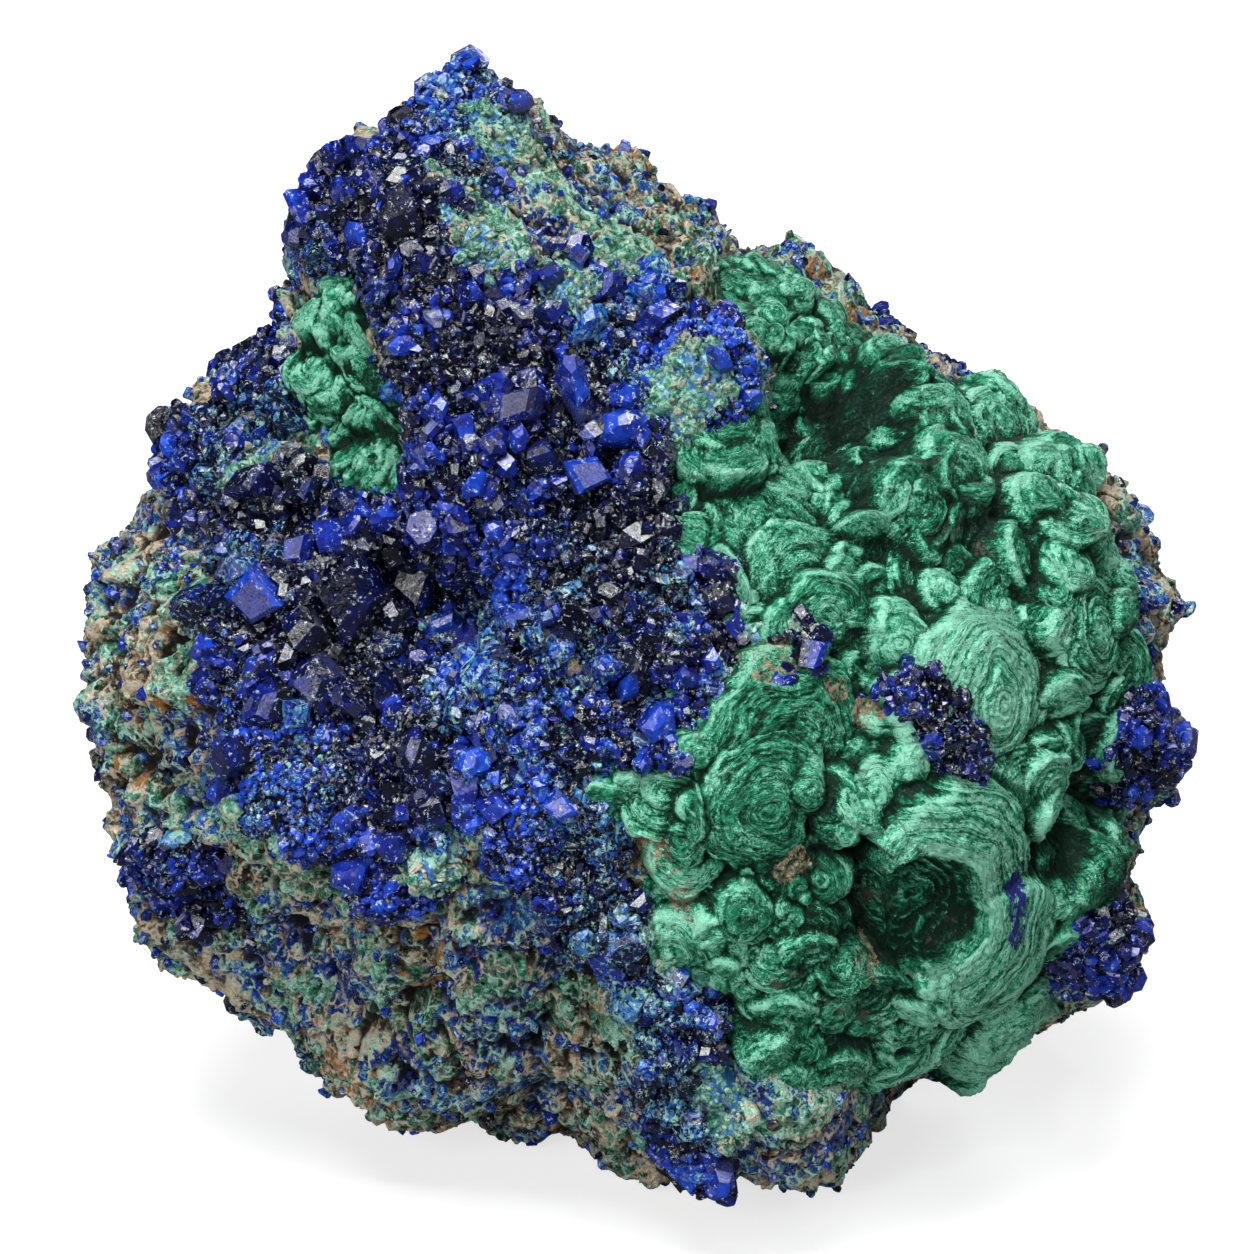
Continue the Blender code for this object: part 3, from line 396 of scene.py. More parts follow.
@dataclass(frozen=True)
class Stone:
    """The stone's form, with the same driving sizes and formulas as its solids."""

    centre: tuple[float, float, float] = (-1.1, 4.8, 48.6)
    face_tilt: float = 20.0
    eye_distance: float = 600.0
    front_depth: float = 36.0
    back_depth: float = 38.0
    fullness: float = 2.35
    break_rounding: float = 1.3
    step_height: float = 3.4
    step_width: float = 21.0
    ledge_depth: float = 3.5
    ledge_softness: float = 2.5
    ledge_reach: float = 16.0
    crevice_depth: float = 0.9
    bowl_depth: float = 5.5
    mass_seat: float = 8.5
    skin_seat: float = 3.4
    crust_seat: float = 1.2
    crust_lift: float = 1.2
    rosette_width: float = 5.2
    rosette_height: float = 2.4
    hidden_level: float = 0.55

    @cached_property
    def axes(self) -> Array:
        """World directions of the face frame's x, y and outward axes, as rows."""
        tilt = math.radians(self.face_tilt)
        return np.array([
            [1.0, 0.0, 0.0],
            [0.0, math.sin(tilt), math.cos(tilt)],
            [0.0, -math.cos(tilt), math.sin(tilt)],
        ])

    def to_world(self, points: Array) -> Array:
        """Face-frame points in millimetres as world points in metres."""
        return (points @ self.axes + np.array(self.centre)) * MM

    def plain_radius(self, face: Array) -> Array:
        """Distance to the smooth stone: a superellipse of the outline's radius and the depth.

        Args:
            face: unit directions in the face frame, one row each.

        Returns:
            One distance for each direction.
        """
        table = np.array(OUTLINE, float)
        angle = np.degrees(np.arctan2(face[:, 1], face[:, 0])) % 360.0
        rim = np.interp(angle, table[:, 0], table[:, 1], period=360.0)
        across = np.hypot(face[:, 0], face[:, 1]) / rim
        depth = np.where(face[:, 2] > 0.0, self.front_depth, self.back_depth)
        power = self.fullness
        return (across**power + np.abs(face[:, 2] / depth) ** power) ** (-1.0 / power)

    def toward(self, places: Array, side: Array, level: Callable[[Array], Array]) -> Array:
        """Unit directions of places seen at (x, y), found by stepping along each line of sight.

        Args:
            places: (x, y) rows.
            side: 1 for the show face or -1 for the far side, for each place.
            level: the form that the places lie on, as a distance for each direction.

        Returns:
            One unit direction for each place.
        """
        depth = side * 20.0
        for _ in range(12):
            share = 1.0 - depth / self.eye_distance
            point = np.column_stack([places[:, 0] * share, places[:, 1] * share, depth])
            length = np.linalg.norm(point, axis=1)
            reach = level(point / length[:, None])
            room = np.maximum(reach**2 - point[:, 0] ** 2 - point[:, 1] ** 2, 1.0)
            depth = 0.5 * (depth + side * np.sqrt(room))
        return unit(point)

    def rise_centres(self, table: Sequence[Sequence[float]], side: float) -> Array:
        """Points of the plain form under each row of a relief table."""
        rows = np.array(table, float)
        aim = self.toward(rows[:, :2], np.full(len(rows), side), self.plain_radius)
        return aim * self.plain_radius(aim)[:, None]

    @cached_property
    def relief_centres(self) -> tuple[Array, Array]:
        """Centres of the show face's rises and of the far side's."""
        return self.rise_centres(RELIEF, 1.0), self.rise_centres(BACK_RELIEF, -1.0)

    def bells(self, points: Array, table: Sequence[Sequence[float]], centres: Array) -> Array:
        """Sum of bell-shaped rises: rise times exp of minus the squared gap over reach."""
        total = np.zeros(len(points))
        for (_, _, reach, rise), centre in zip(table, centres):
            total += rise * np.exp(-np.sum((points - centre) ** 2, axis=1) / reach**2)
        return total

    def ledge_inset(self, points: Array) -> Array:
        """How far the rock under the crust's lower left edge is set back."""
        edge = np.array(LEDGE)
        below = np.interp(points[:, 0], edge[:, 0], edge[:, 1]) - points[:, 1]
        amount = smoothstep(0.0, self.ledge_softness, below)
        amount = amount * np.exp(-np.clip(below, 0.0, None) / self.ledge_reach)
        side = smoothstep(edge[-1, 0] + 6.0, edge[-1, 0] - 4.0, points[:, 0])
        return self.ledge_depth * amount * side * smoothstep(-2.0, 8.0, points[:, 2])

    def form_radius(self, face: Array) -> Array:
        """Distance to the main form: swellings, hollows, ledge and breaks, with no lumps."""
        plain = self.plain_radius(face)
        points = face * plain[:, None]
        front, back = self.relief_centres
        radius = plain + self.bells(points, RELIEF, front) * smoothstep(0.0, 0.3, face[:, 2])
        radius += self.bells(points, BACK_RELIEF, back) * smoothstep(0.0, 0.3, -face[:, 2])
        radius -= self.ledge_inset(points)
        total = np.exp(-radius / self.break_rounding)
        for normal, distance in BREAKS:
            facing = face @ (np.array(normal) / np.linalg.norm(normal))
            total += np.exp(-distance / np.maximum(facing, 0.2) / self.break_rounding)
        return -self.break_rounding * np.log(total)

    def stone_radius(self, face: Array) -> Array:
        """Distance to the lumpy stone before any mineral is parted from it."""
        points = face * self.plain_radius(face)[:, None]
        height = self.step_height * smooth_noise(points, self.step_width, 3)
        whole = np.floor(height / self.step_height * 2.0)
        part = height / self.step_height * 2.0 - whole
        radius = self.form_radius(face)
        radius += 0.5 * self.step_height * (whole + smoothstep(0.3, 0.7, part))
        for width, rise, channel in LUMPS:
            radius += rise * (packed_lumps(points, width, channel)[0] - 0.55)
        return radius

    def balls(self, rows: Array, raise_by: Array) -> tuple[Array, Array]:
        """Centres and poles of balls set into the form.

        Args:
            rows: (x, y) rows.
            raise_by: how far each centre is above the form.

        Returns:
            The centres, and the unit directions that they lie along.
        """
        aim = self.toward(rows, np.ones(len(rows)), self.form_radius)
        return aim * (self.form_radius(aim) + raise_by)[:, None], aim

    def patch_cover(self, face: Array, patches: Sequence[Sequence[float]]) -> Array:
        """1 at the centre of round patches, 0 at their edge and less outside, with an uneven edge."""
        rows = sided(patches)
        aim = self.toward(rows[:, :2], rows[:, 3], self.form_radius)
        centres = aim * self.plain_radius(aim)[:, None]
        points = face * self.plain_radius(face)[:, None]
        cover = np.full(len(points), -9.0)
        for centre, radius in zip(centres, rows[:, 2]):
            gap = np.sqrt(np.sum((points - centre) ** 2, axis=1))
            cover = np.maximum(cover, 1.0 - gap / radius)
        return cover + 0.14 * smooth_noise(points, 5.0, 31)

    def lobed_cover(
        self, face: Array, lobes: Sequence[Sequence[float]], ground: Sequence[Sequence[float]] = ()
    ) -> Array:
        """Above 0 where a lobed mineral grows: under its lobes and on the ground between them."""
        under = [(row[0], row[1], 0.9 * row[2]) for row in lobes]
        return self.patch_cover(face, under + list(ground))

    def crust_radius(self, face: Array, patches: Sequence[Sequence[float]]) -> Array:
        """The azurite crust: rosettes proud of the stone inside its patches, sunk below outside."""
        cover = self.patch_cover(face, patches)
        plain = self.plain_radius(face)
        rosettes = packed_lumps(face * plain[:, None], self.rosette_width, 51)[0]
        crust = self.stone_radius(face) + self.crust_lift + self.rosette_height * rosettes
        hidden = self.hidden_level * plain
        return hidden + (crust - hidden) * smoothstep(-0.5, 0.12, cover)

    def floor_limit(self, face: Array) -> Array:
        """Distance to the worn flat at z = 0 for rays that point down."""
        down = -(face @ self.axes)[:, 2]
        return np.where(down > 1e-6, self.centre[2] / np.maximum(down, 1e-6), 1e6)

    def rock_radius(self, face: Array) -> Array:
        """The host rock: the stone, set back where a mineral is seated on it."""
        skins = np.maximum(
            self.lobed_cover(face, SEAM_LOBES), self.lobed_cover(face, TOP_NODULES, NODULE_GROUND)
        )
        mass = self.lobed_cover(face, MALACHITE_DOMES, MALACHITE_GROUND)
        seat = np.maximum(
            self.skin_seat * smoothstep(0.0, 0.12, skins),
            self.mass_seat * smoothstep(0.0, 0.12, mass),
        )
        patches = sum(map(list, OUTLYING_CLUSTERS.values()), list(DRUSE_PATCHES))
        crust = self.crust_seat * smoothstep(-0.05, 0.15, self.patch_cover(face, patches))
        return self.stone_radius(face) - np.maximum(seat, crust)

    def stain(self, face: Array, patches: Sequence[Sequence[float]], channel: int) -> Array:
        """A mask from 0 to 1 of ragged patches: their cover with two sizes of noise in its edge."""
        points = face * self.plain_radius(face)[:, None]
        ragged = 0.5 * smooth_noise(points, 2.6, channel) + 0.35 * smooth_noise(points, 1.1, channel + 1)
        return smoothstep(-0.12, 0.2, self.patch_cover(face, patches) + ragged)


# ------------------------------------------------------------------ grids and meshes


def grid_squares(cells: int) -> Array:
    """The quads of a square grid of points with that many cells along each side."""
    corner = np.arange(cells * (cells + 1)).reshape(cells, cells + 1)[:, :cells].ravel()
    return np.column_stack([corner, corner + cells + 1, corner + cells + 2, corner + 1])


def cube_sphere(cells: int) -> tuple[Array, Array]:
    """Directions on a sphere: the grids on the six faces of a cube, spread by the tangent rule.

    Args:
        cells: squares along each edge of the cube, an even number.

    Returns:
        Unit directions, and quads that point outwards.
    """
    half = cells // 2
    line = np.arange(-half, half + 1)
    u, v = np.meshgrid(line, line, indexing="ij")
    square = grid_squares(cells)
    lattice, quads = [], []
    for axis in range(3):
        for sign in (1, -1):
            side = np.zeros((u.size, 3), np.int64)
            side[:, axis] = sign * half
            side[:, (axis + 1) % 3] = u.ravel()
            side[:, (axis + 2) % 3] = v.ravel()
            quads.append((square if sign > 0 else square[:, ::-1]) + len(lattice) * u.size)
            lattice.append(side)
    points, index = np.unique(np.concatenate(lattice), axis=0, return_inverse=True)
    directions = unit(np.tan(points / half * (math.pi / 4.0)))
    return directions, index.ravel()[np.concatenate(quads)]


def patch_grid(
    centre: Array, cover: Callable[[Array], Array], cells: int, edge: float = -0.22
) -> tuple[Array, Array, Array]:
    """Directions over a patch: a square grid bent to a disc and stretched to the patch's edge.

    The disc keeps the square's rings: the larger of the two coordinates is the radius and their
    ratio is the angle. In each direction the disc reaches as far as the cover stays above edge.

    Args:
        centre: unit direction that the grid is centred on.
        cover: the patch's cover for directions, above 0 inside the patch.
        cells: squares along each side of the grid, an even number.
        edge: the cover at which the grid ends.

    Returns:
        Unit directions, quads that point outwards, and the loop of points round the rim.
    """
    across = np.cross([0.0, 1.0, 0.0], centre)
    across /= np.linalg.norm(across)
    upward = np.cross(centre, across)
    turns, steps = 120, 110
    angle = np.arange(turns) * (2.0 * math.pi / turns)
    reach = np.linspace(0.02, 1.65, steps)
    aim = np.cos(angle)[:, None] * across + np.sin(angle)[:, None] * upward
    probes = np.cos(reach)[None, :, None] * centre + np.sin(reach)[None, :, None] * aim[:, None, :]
    inside = cover(probes.reshape(-1, 3)).reshape(turns, steps) > edge
    last = reach[np.where(inside.any(axis=1), steps - 1 - np.argmax(inside[:, ::-1], axis=1), 3)]
    last = np.maximum(last, np.maximum(np.roll(last, 1), np.roll(last, -1)))
    last = (np.roll(last, 1) + 2.0 * last + np.roll(last, -1)) / 4.0

    line = np.linspace(-1.0, 1.0, cells + 1)
    a, b = (grid.ravel() for grid in np.meshgrid(line, line, indexing="ij"))
    wide = np.abs(a) > np.abs(b)
    radius = np.where(wide, a, b)
    ratio = np.where(wide, b, a) / np.where(radius == 0.0, 1.0, radius)
    turn = np.where(wide, ratio * math.pi / 4.0, math.pi / 2.0 - ratio * math.pi / 4.0)
    turn = np.where(radius < 0.0, turn + math.pi, turn) % (2.0 * math.pi)
    radius = np.abs(radius) * np.interp(turn, np.append(angle, 2.0 * math.pi), np.append(last, last[0]))
    bearing = np.cos(turn)[:, None] * across + np.sin(turn)[:, None] * upward
    directions = np.cos(radius)[:, None] * centre + np.sin(radius)[:, None] * bearing
    index = np.arange((cells + 1) ** 2).reshape(cells + 1, cells + 1)
    rim = np.concatenate([index[:-1, 0], index[-1, :-1], index[:0:-1, -1], index[0, :0:-1]])
    return directions, grid_squares(cells), rim


def closing_cone(quads: Array, root: int) -> Array:
    """Triangles from every open edge of a sheet of quads to one root point, so that it is closed."""
    edges = np.concatenate([quads[:, [side, (side + 1) % 4]] for side in range(4)])
    span = edges.max() + 1
    _, index, count = np.unique(
        edges.min(axis=1) * span + edges.max(axis=1), return_index=True, return_counts=True
    )
    open_edges = edges[index[count == 1]]
    return np.column_stack([open_edges[:, 1], open_edges[:, 0], np.full(len(open_edges), root)])


def closed_patch(points: Array, rim: Array, root: Array) -> tuple[Array, Array]:
    """A patch's points and a root point after them, and the triangles from its rim to the root."""
    cone = np.column_stack([rim, np.full(len(rim), len(points)), np.roll(rim, -1)])
    return np.vstack([points, root]), cone


def grid_normals(points: Array, quads: Array) -> Array:
    """Unit normals of a grid's points, each the sum of the diagonals' cross products round it."""
    cross = np.cross(points[quads[:, 2]] - points[quads[:, 0]], points[quads[:, 3]] - points[quads[:, 1]])
    total = np.zeros_like(points)
    for column in range(4):
        for axis in range(3):
            total[:, axis] += np.bincount(quads[:, column], cross[:, axis], minlength=len(points))
    return total / np.maximum(np.linalg.norm(total, axis=1), 1e-12)[:, None]


def smoothed(numbers: Array, quads: Array, rounds: int) -> Array:
    """Numbers of a grid's points, averaged again and again over the squares that they are part of.

    Args:
        numbers: one number for each point.
        quads: the grid's squares.
        rounds: how many times; the reach grows with the root of it.

    Returns:
        The averaged numbers.
    """
    corners = quads.ravel()
    weight = np.maximum(np.bincount(corners, minlength=len(numbers)), 1)
    for _ in range(rounds):
        mean = np.repeat(numbers[quads].mean(axis=1), 4)
        numbers = np.bincount(corners, mean, minlength=len(numbers)) / weight
    return numbers


def standing_out(radius: Array, quads: Array, rounds: tuple[int, int], strength: float = 0.17) -> Array:
    """How far points stand out of what is round them, at a fine and a broad scale.

    Args:
        radius: distance of each point.
        quads: the grid's squares.
        rounds: rounds of averaging for the fine and for the broad scale.
        strength: what one standard deviation of each scale counts for.

    Returns:
        Numbers from 0 in hollows to 1 on crests, with 0.5 where the surface is even.
    """
    total = np.full(len(radius), 0.5)
    for count in rounds:
        apart = radius - smoothed(radius, quads, count)
        total += strength * np.clip(apart / np.std(apart), -3.0, 3.0)
    return np.clip(total, 0.0, 1.0)


def mesh_object(
    name: str,
    points: Array,
    faces: Sequence[Array],
    material: bpy.types.Material,
    values: dict[str, Array] | None = None,
    smooth: bool = True,
) -> bpy.types.Object:
    """An object whose mesh is filled from whole arrays.

    Args:
        name: the object's name.
        points: world points in metres.
        faces: arrays of faces, each with one width, such as all the quads and all the triangles.
        material: the finish.
        values: numbers kept with the mesh, one for each point or one for each face.
        smooth: whether the faces are shaded smooth.

    Returns:
        The new object, at the origin, unturned and unscaled.
    """
    mesh = bpy.data.meshes.new(name)
    widths = np.concatenate([np.full(len(group), group.shape[1]) for group in faces])
    corners = np.concatenate([group.ravel() for group in faces])
    mesh.vertices.add(len(points))
    mesh.loops.add(len(corners))
    mesh.polygons.add(len(widths))
    mesh.vertices.foreach_set("co", points.astype(np.float32).ravel())
    mesh.loops.foreach_set("vertex_index", corners.astype(np.int32))
    mesh.polygons.foreach_set("loop_start", np.append(0, np.cumsum(widths)[:-1]).astype(np.int32))
    mesh.polygons.foreach_set("use_smooth", np.full(len(widths), smooth))
    mesh.update(calc_edges=True)
    for key, numbers in (values or {}).items():
        domain = "POINT" if len(numbers) == len(points) else "FACE"
        layer = mesh.attributes.new(key, "FLOAT", domain)
        layer.data.foreach_set("value", numbers.astype(np.float32))
    mesh.materials.append(material)
    made = bpy.data.objects.new(name, mesh)
    bpy.context.collection.objects.link(made)
    return made


def place_piece(made: bpy.types.Object, node: str) -> None:
    """Rides a piece on the stone, hides the solid of the node that it stands for and logs its triangles."""
    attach(made, "root")
    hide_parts(node)
    triangles = len(made.data.loops) - 2 * len(made.data.polygons)
    LOG.info("%s: %d triangles", made.name, triangles)


# ------------------------------------------------------------------ shader nodes


@dataclass
class Nodes:
    """Short calls that add and join the nodes of one tree."""

    tree: bpy.types.NodeTree

    def add(
        self, kind: str, inputs: dict[str | int, object] | None = None, **settings: object
    ) -> bpy.types.Node:
        """Adds a node.

        Args:
            kind: the node's type, without the words ShaderNode.
            inputs: a value or another node's socket for each input, by name or number.
            settings: the node's own properties.

        Returns:
            The new node.
        """
        made = self.tree.nodes.new("ShaderNode" + kind)
        for key, value in settings.items():
            setattr(made, key, value)
        for key, value in (inputs or {}).items():
            self.put(made.inputs[key], value)
        return made

    def put(self, socket: bpy.types.NodeSocket, value: object) -> None:
        """Joins another node's socket to an input, or sets its number or colour."""
        if isinstance(value, bpy.types.NodeSocket):
            self.tree.links.new(value, socket)
        elif isinstance(value, tuple) and len(value) == 3 and socket.type == "RGBA":
            socket.default_value = (*value, 1.0)
        else:
            socket.default_value = value

    def attribute(self, name: str) -> bpy.types.NodeSocket:
        """The number that a mesh keeps under a name."""
        return self.add("Attribute", attribute_name=name).outputs["Fac"]

    def place(self) -> bpy.types.NodeSocket:
        """The Object coordinates, in metres."""
        return self.add("TexCoord").outputs["Object"]

    def math(self, operation: str, *values: object) -> bpy.types.NodeSocket:
        """One step of arithmetic on numbers or sockets."""
        return self.add("Math", dict(enumerate(values)), operation=operation).outputs[0]

    def total(self, *values: object) -> bpy.types.NodeSocket:
        """The sum of numbers and sockets."""
        result = values[0]
        for value in values[1:]:
            result = self.math("ADD", result, value)
        return result

    def times(self, *values: object) -> bpy.types.NodeSocket:
        """The product of numbers and sockets."""
        result = values[0]
        for value in values[1:]:
            result = self.math("MULTIPLY", result, value)
        return result

    def mix(self, share: object, low: object, high: object, blend: str = "MIX") -> bpy.types.NodeSocket:
        """A colour between two others, or one blended over the other."""
        made = self.add("Mix", {0: share, 6: low, 7: high}, data_type="RGBA", blend_type=blend)
        return made.outputs[2]

    def spread(
        self, value: object, low: float, high: float, to_low: float = 0.0, to_high: float = 1.0
    ) -> bpy.types.NodeSocket:
        """A number stretched from one range to another, smoothly and held at the ends."""
        inputs = {"Value": value, "From Min": low, "From Max": high, "To Min": to_low, "To Max": to_high}
        return self.add("MapRange", inputs, interpolation_type="SMOOTHSTEP").outputs["Result"]

    def noise(
        self, size_mm: float, detail: float = 3.0, rough: float = 0.55,
        where: bpy.types.NodeSocket | None = None,
    ) -> bpy.types.NodeSocket:
        """Soft noise from 0 to 1 with features of a size, on Object coordinates or other places."""
        inputs = {"Vector": where or self.place(), "Scale": 1.0 / (size_mm * MM)}
        return self.add("TexNoise", inputs | {"Detail": detail, "Roughness": rough}).outputs["Fac"]

    def curled(self, size_mm: float, reach_mm: float) -> bpy.types.NodeSocket:
        """Object coordinates pushed about by soft noise, so that patterns on them curl."""
        inputs = {"Vector": self.place(), "Scale": 1.0 / (size_mm * MM), "Detail": 2.0}
        push = self.add("TexNoise", inputs).outputs["Color"]
        push = self.add("VectorMath", {0: push, 1: (0.5, 0.5, 0.5)}, operation="SUBTRACT").outputs[0]
        push = self.add("VectorMath", {0: push, 3: 2.0 * reach_mm * MM}, operation="SCALE").outputs[0]
        return self.add("VectorMath", {0: self.place(), 1: push}, operation="ADD").outputs[0]

    def threads(
        self, size_mm: float, where: bpy.types.NodeSocket, width: float = 0.09
    ) -> bpy.types.NodeSocket:
        """Thin curling threads: 1 where noise crosses its middle value and 0 away from there."""
        away = self.math("ABSOLUTE", self.math("SUBTRACT", self.noise(size_mm, 2.5, 0.55, where), 0.5))
        return self.spread(away, 0.0, width, 1.0, 0.0)

    def lace(self, size_mm: float, where: bpy.types.NodeSocket, width: float = 0.1) -> bpy.types.NodeSocket:
        """Thin walls between cells of a size: 1 on the walls and 0 away from them."""
        inputs = {"Vector": where, "Scale": 1.0 / (size_mm * MM)}
        edge = self.add("TexVoronoi", inputs, feature="DISTANCE_TO_EDGE").outputs["Distance"]
        return self.spread(edge, 0.4 * width, width, 1.0, 0.0)

    def ramp(self, value: object, stops: Sequence[tuple[float, Colour]]) -> bpy.types.NodeSocket:
        """Colours in order along a number.

        Args:
            value: the number that picks a colour.
            stops: a position and a colour for each stop.

        Returns:
            The colour's socket.
        """
        made = self.add("ValToRGB", {"Fac": value})
        elements = made.color_ramp.elements
        elements.remove(elements[0])
        elements[0].position = stops[0][0]
        elements[0].color = (*stops[0][1], 1.0)
        for position, colour in stops[1:]:
            elements.new(position).color = (*colour, 1.0)
        return made.outputs["Color"]


def new_group(
    name: str, inputs: Sequence[str], outputs: Sequence[str]
) -> tuple[bpy.types.NodeTree, Nodes, bpy.types.NodeOutputs, bpy.types.NodeInputs]:
    """An empty shader node group for numbers.

    Args:
        name: the group's name.
        inputs: the name of each input.
        outputs: the name of each output.

    Returns:
        The group, its nodes, the sockets that come in and the sockets that go out.
    """
    group = bpy.data.node_groups.new(name, "ShaderNodeTree")
    for in_out, labels in (("INPUT", inputs), ("OUTPUT", outputs)):
        for label in labels:
            group.interface.new_socket(label, in_out=in_out, socket_type="NodeSocketFloat")
    entry = group.nodes.new("NodeGroupInput")
    leave = group.nodes.new("NodeGroupOutput")
    return group, Nodes(group), entry.outputs, leave.inputs


def grain_group() -> bpy.types.NodeTree:
    """Fine mineral grain: a height for bumps and a mask of pale specks."""
    found = bpy.data.node_groups.get("mineral_grain")
    if found:
        return found
    group, nodes, entry, leave = new_group("mineral_grain", ("Size", "Speckle"), ("Height", "Specks"))
    where = nodes.place()
    scale = nodes.math("DIVIDE", 1.0 / MM, entry["Size"])
    fine = nodes.add("TexNoise", {"Vector": where, "Scale": scale, "Detail": 4.0, "Roughness": 0.65})
    cells = nodes.add("TexVoronoi", {"Vector": where, "Scale": nodes.times(scale, 0.7)})
    hollow = nodes.times(cells.outputs["Distance"], 0.55)
    group.links.new(nodes.math("SUBTRACT", fine.outputs["Fac"], hollow), leave["Height"])
    specks = nodes.add("TexVoronoi", {"Vector": where, "Scale": nodes.times(scale, 0.9)})
    chance = nodes.add("SeparateColor", {"Color": specks.outputs["Color"]}).outputs[0]
    near = nodes.spread(specks.outputs["Distance"], 0.28, 0.42, 1.0, 0.0)
    mask = nodes.times(nodes.math("GREATER_THAN", entry["Speckle"], chance), near)
    group.links.new(mask, leave["Specks"])
    return group


@dataclass(frozen=True)
class Finish:
    """What every finish shares: its name and how its surface takes the light."""

    name: str
    roughness: float
    grain_mm: float
    bump_mm: float

    def material(self) -> bpy.types.Material:
        """Builds the material; each finish has its own."""
        raise NotImplementedError

    def shared(self) -> bpy.types.Material:
        """The finish's one material, built when it is first asked for."""
        return bpy.data.materials.get(self.name) or self.material()

    def start(self, speckle: float) -> tuple[bpy.types.Material, Nodes, bpy.types.Node, bpy.types.Node]:
        """A material with its grain group in place.

        Args:
            speckle: share of the surface's cells that carry a pale speck.

        Returns:
            The material, its nodes, the shader and the grain node.
        """
        material = bpy.data.materials.new(self.name)
        material.use_nodes = True
        nodes = Nodes(material.node_tree)
        shader = material.node_tree.nodes["Principled BSDF"]
        grain = nodes.add("Group", {}, node_tree=grain_group())
        grain.inputs["Size"].default_value = self.grain_mm
        grain.inputs["Speckle"].default_value = speckle
        shader.inputs["Roughness"].default_value = self.roughness
        return material, nodes, shader, grain

    def bump(self, nodes: Nodes, height: bpy.types.NodeSocket, shader: bpy.types.Node) -> None:
        """Joins a height to the shader's normal at the finish's own depth."""
        made = nodes.add("Bump", {"Height": height, "Strength": 1.0, "Distance": self.bump_mm * MM})
        nodes.tree.links.new(made.outputs["Normal"], shader.inputs["Normal"])


@dataclass(frozen=True)
class RockFinish(Finish):
    """Granular host rock with mint, green, blue and ochre stains kept as the mesh's masks."""

    dark: Colour = (0.006, 0.005, 0.004)
    brown: Colour = (0.085, 0.048, 0.028)
    tan: Colour = (0.30, 0.20, 0.115)
    pale: Colour = (0.72, 0.62, 0.46)
    mint: Colour = (0.10, 0.42, 0.28)
    mint_pale: Colour = (0.46, 0.80, 0.64)
    green: Colour = (0.008, 0.105, 0.05)
    navy: Colour = (0.002, 0.006, 0.06)
    blue: Colour = (0.008, 0.055, 0.42)
    teal: Colour = (0.012, 0.19, 0.34)
    ochre: Colour = (0.40, 0.17, 0.03)

    def material(self) -> bpy.types.Material:
        """Builds the material: earth colours, then the stains, then threads, specks and shade."""
        made, nodes, shader, grain = self.start(0.12)
        curled = nodes.curled(1.6, 0.5)
        cloud = nodes.spread(nodes.noise(2.2, 4.0, 0.62, curled), 0.3, 0.7, -0.38, 0.38)
        flake = nodes.spread(nodes.noise(0.42, 4.0, 0.75, curled), 0.36, 0.64, -0.6, 0.6)
        # painted shade and light: the mesh's height darkens the hollows and lightens the crests of the earth,
        # mint, green and blue colours
        shade = nodes.spread(nodes.attribute("height"), 0.0, 1.0, -0.4, 0.3)
        earth = nodes.total(nodes.attribute("tint"), cloud, nodes.times(flake, 0.3), shade)
        stops = ((0.0, self.dark), (0.3, self.brown), (0.64, self.tan), (1.0, self.pale))
        base = nodes.ramp(earth, stops)
        level = nodes.total(nodes.times(flake, 0.7), cloud, shade)
        stops = ((0.0, self.green), (0.45, self.mint), (0.85, self.mint_pale))
        mint = nodes.ramp(nodes.spread(level, -0.7, 0.9), stops)
        stops = ((0.1, self.dark), (0.45, self.green), (0.95, self.mint))
        green = nodes.ramp(nodes.spread(level, -0.9, 1.0), stops)
        stops = ((0.15, self.navy), (0.55, self.blue), (0.8, self.teal), (1.0, self.mint_pale))
        blue = nodes.ramp(nodes.spread(level, -0.9, 1.0), stops)
        for mask, colour in (("ochre", self.ochre), ("green", green), ("mint", mint), ("blue", blue)):
            ragged = nodes.noise(0.8 + 0.1 * len(mask), 3.0, 0.65, curled)
            offset = nodes.spread(ragged, 0.32, 0.68, -0.34, 0.34)
            share = nodes.total(nodes.attribute(mask), offset)
            base = nodes.mix(nodes.spread(share, 0.44, 0.56), base, colour)
        patchy = nodes.spread(nodes.noise(4.5, 3.0, 0.6), 0.36, 0.5, 0.2, 1.0)
        patchy = nodes.times(patchy, nodes.spread(nodes.noise(0.9, 2.0), 0.42, 0.5))
        # part of the painted shade: fewer pale threads in the hollows
        patchy = nodes.times(patchy, nodes.spread(nodes.attribute("height"), 0.3, 0.65, 0.25, 1.0))
        strands = nodes.math("MAXIMUM", nodes.lace(1.2, curled, 0.16), nodes.threads(0.5, curled, 0.045))
        threads = nodes.times(strands, patchy)
        light = nodes.mix(nodes.spread(nodes.noise(3.3, 2.0), 0.45, 0.55), self.mint_pale, self.pale)
        base = nodes.mix(threads, base, light)
        base = nodes.mix(nodes.times(grain.outputs["Specks"], 0.8), base, self.pale)
        # painted shade: the hollows darkened towards near black
        base = nodes.mix(nodes.spread(nodes.attribute("height"), 0.12, 0.46, 0.96, 0.0), base, self.dark)
        nodes.tree.links.new(base, shader.inputs["Base Color"])
        shader.inputs["Specular IOR Level"].default_value = 0.3
        height = nodes.total(grain.outputs["Height"], nodes.times(flake, 0.5), nodes.times(threads, 0.9))
        self.bump(nodes, height, shader)
        return made


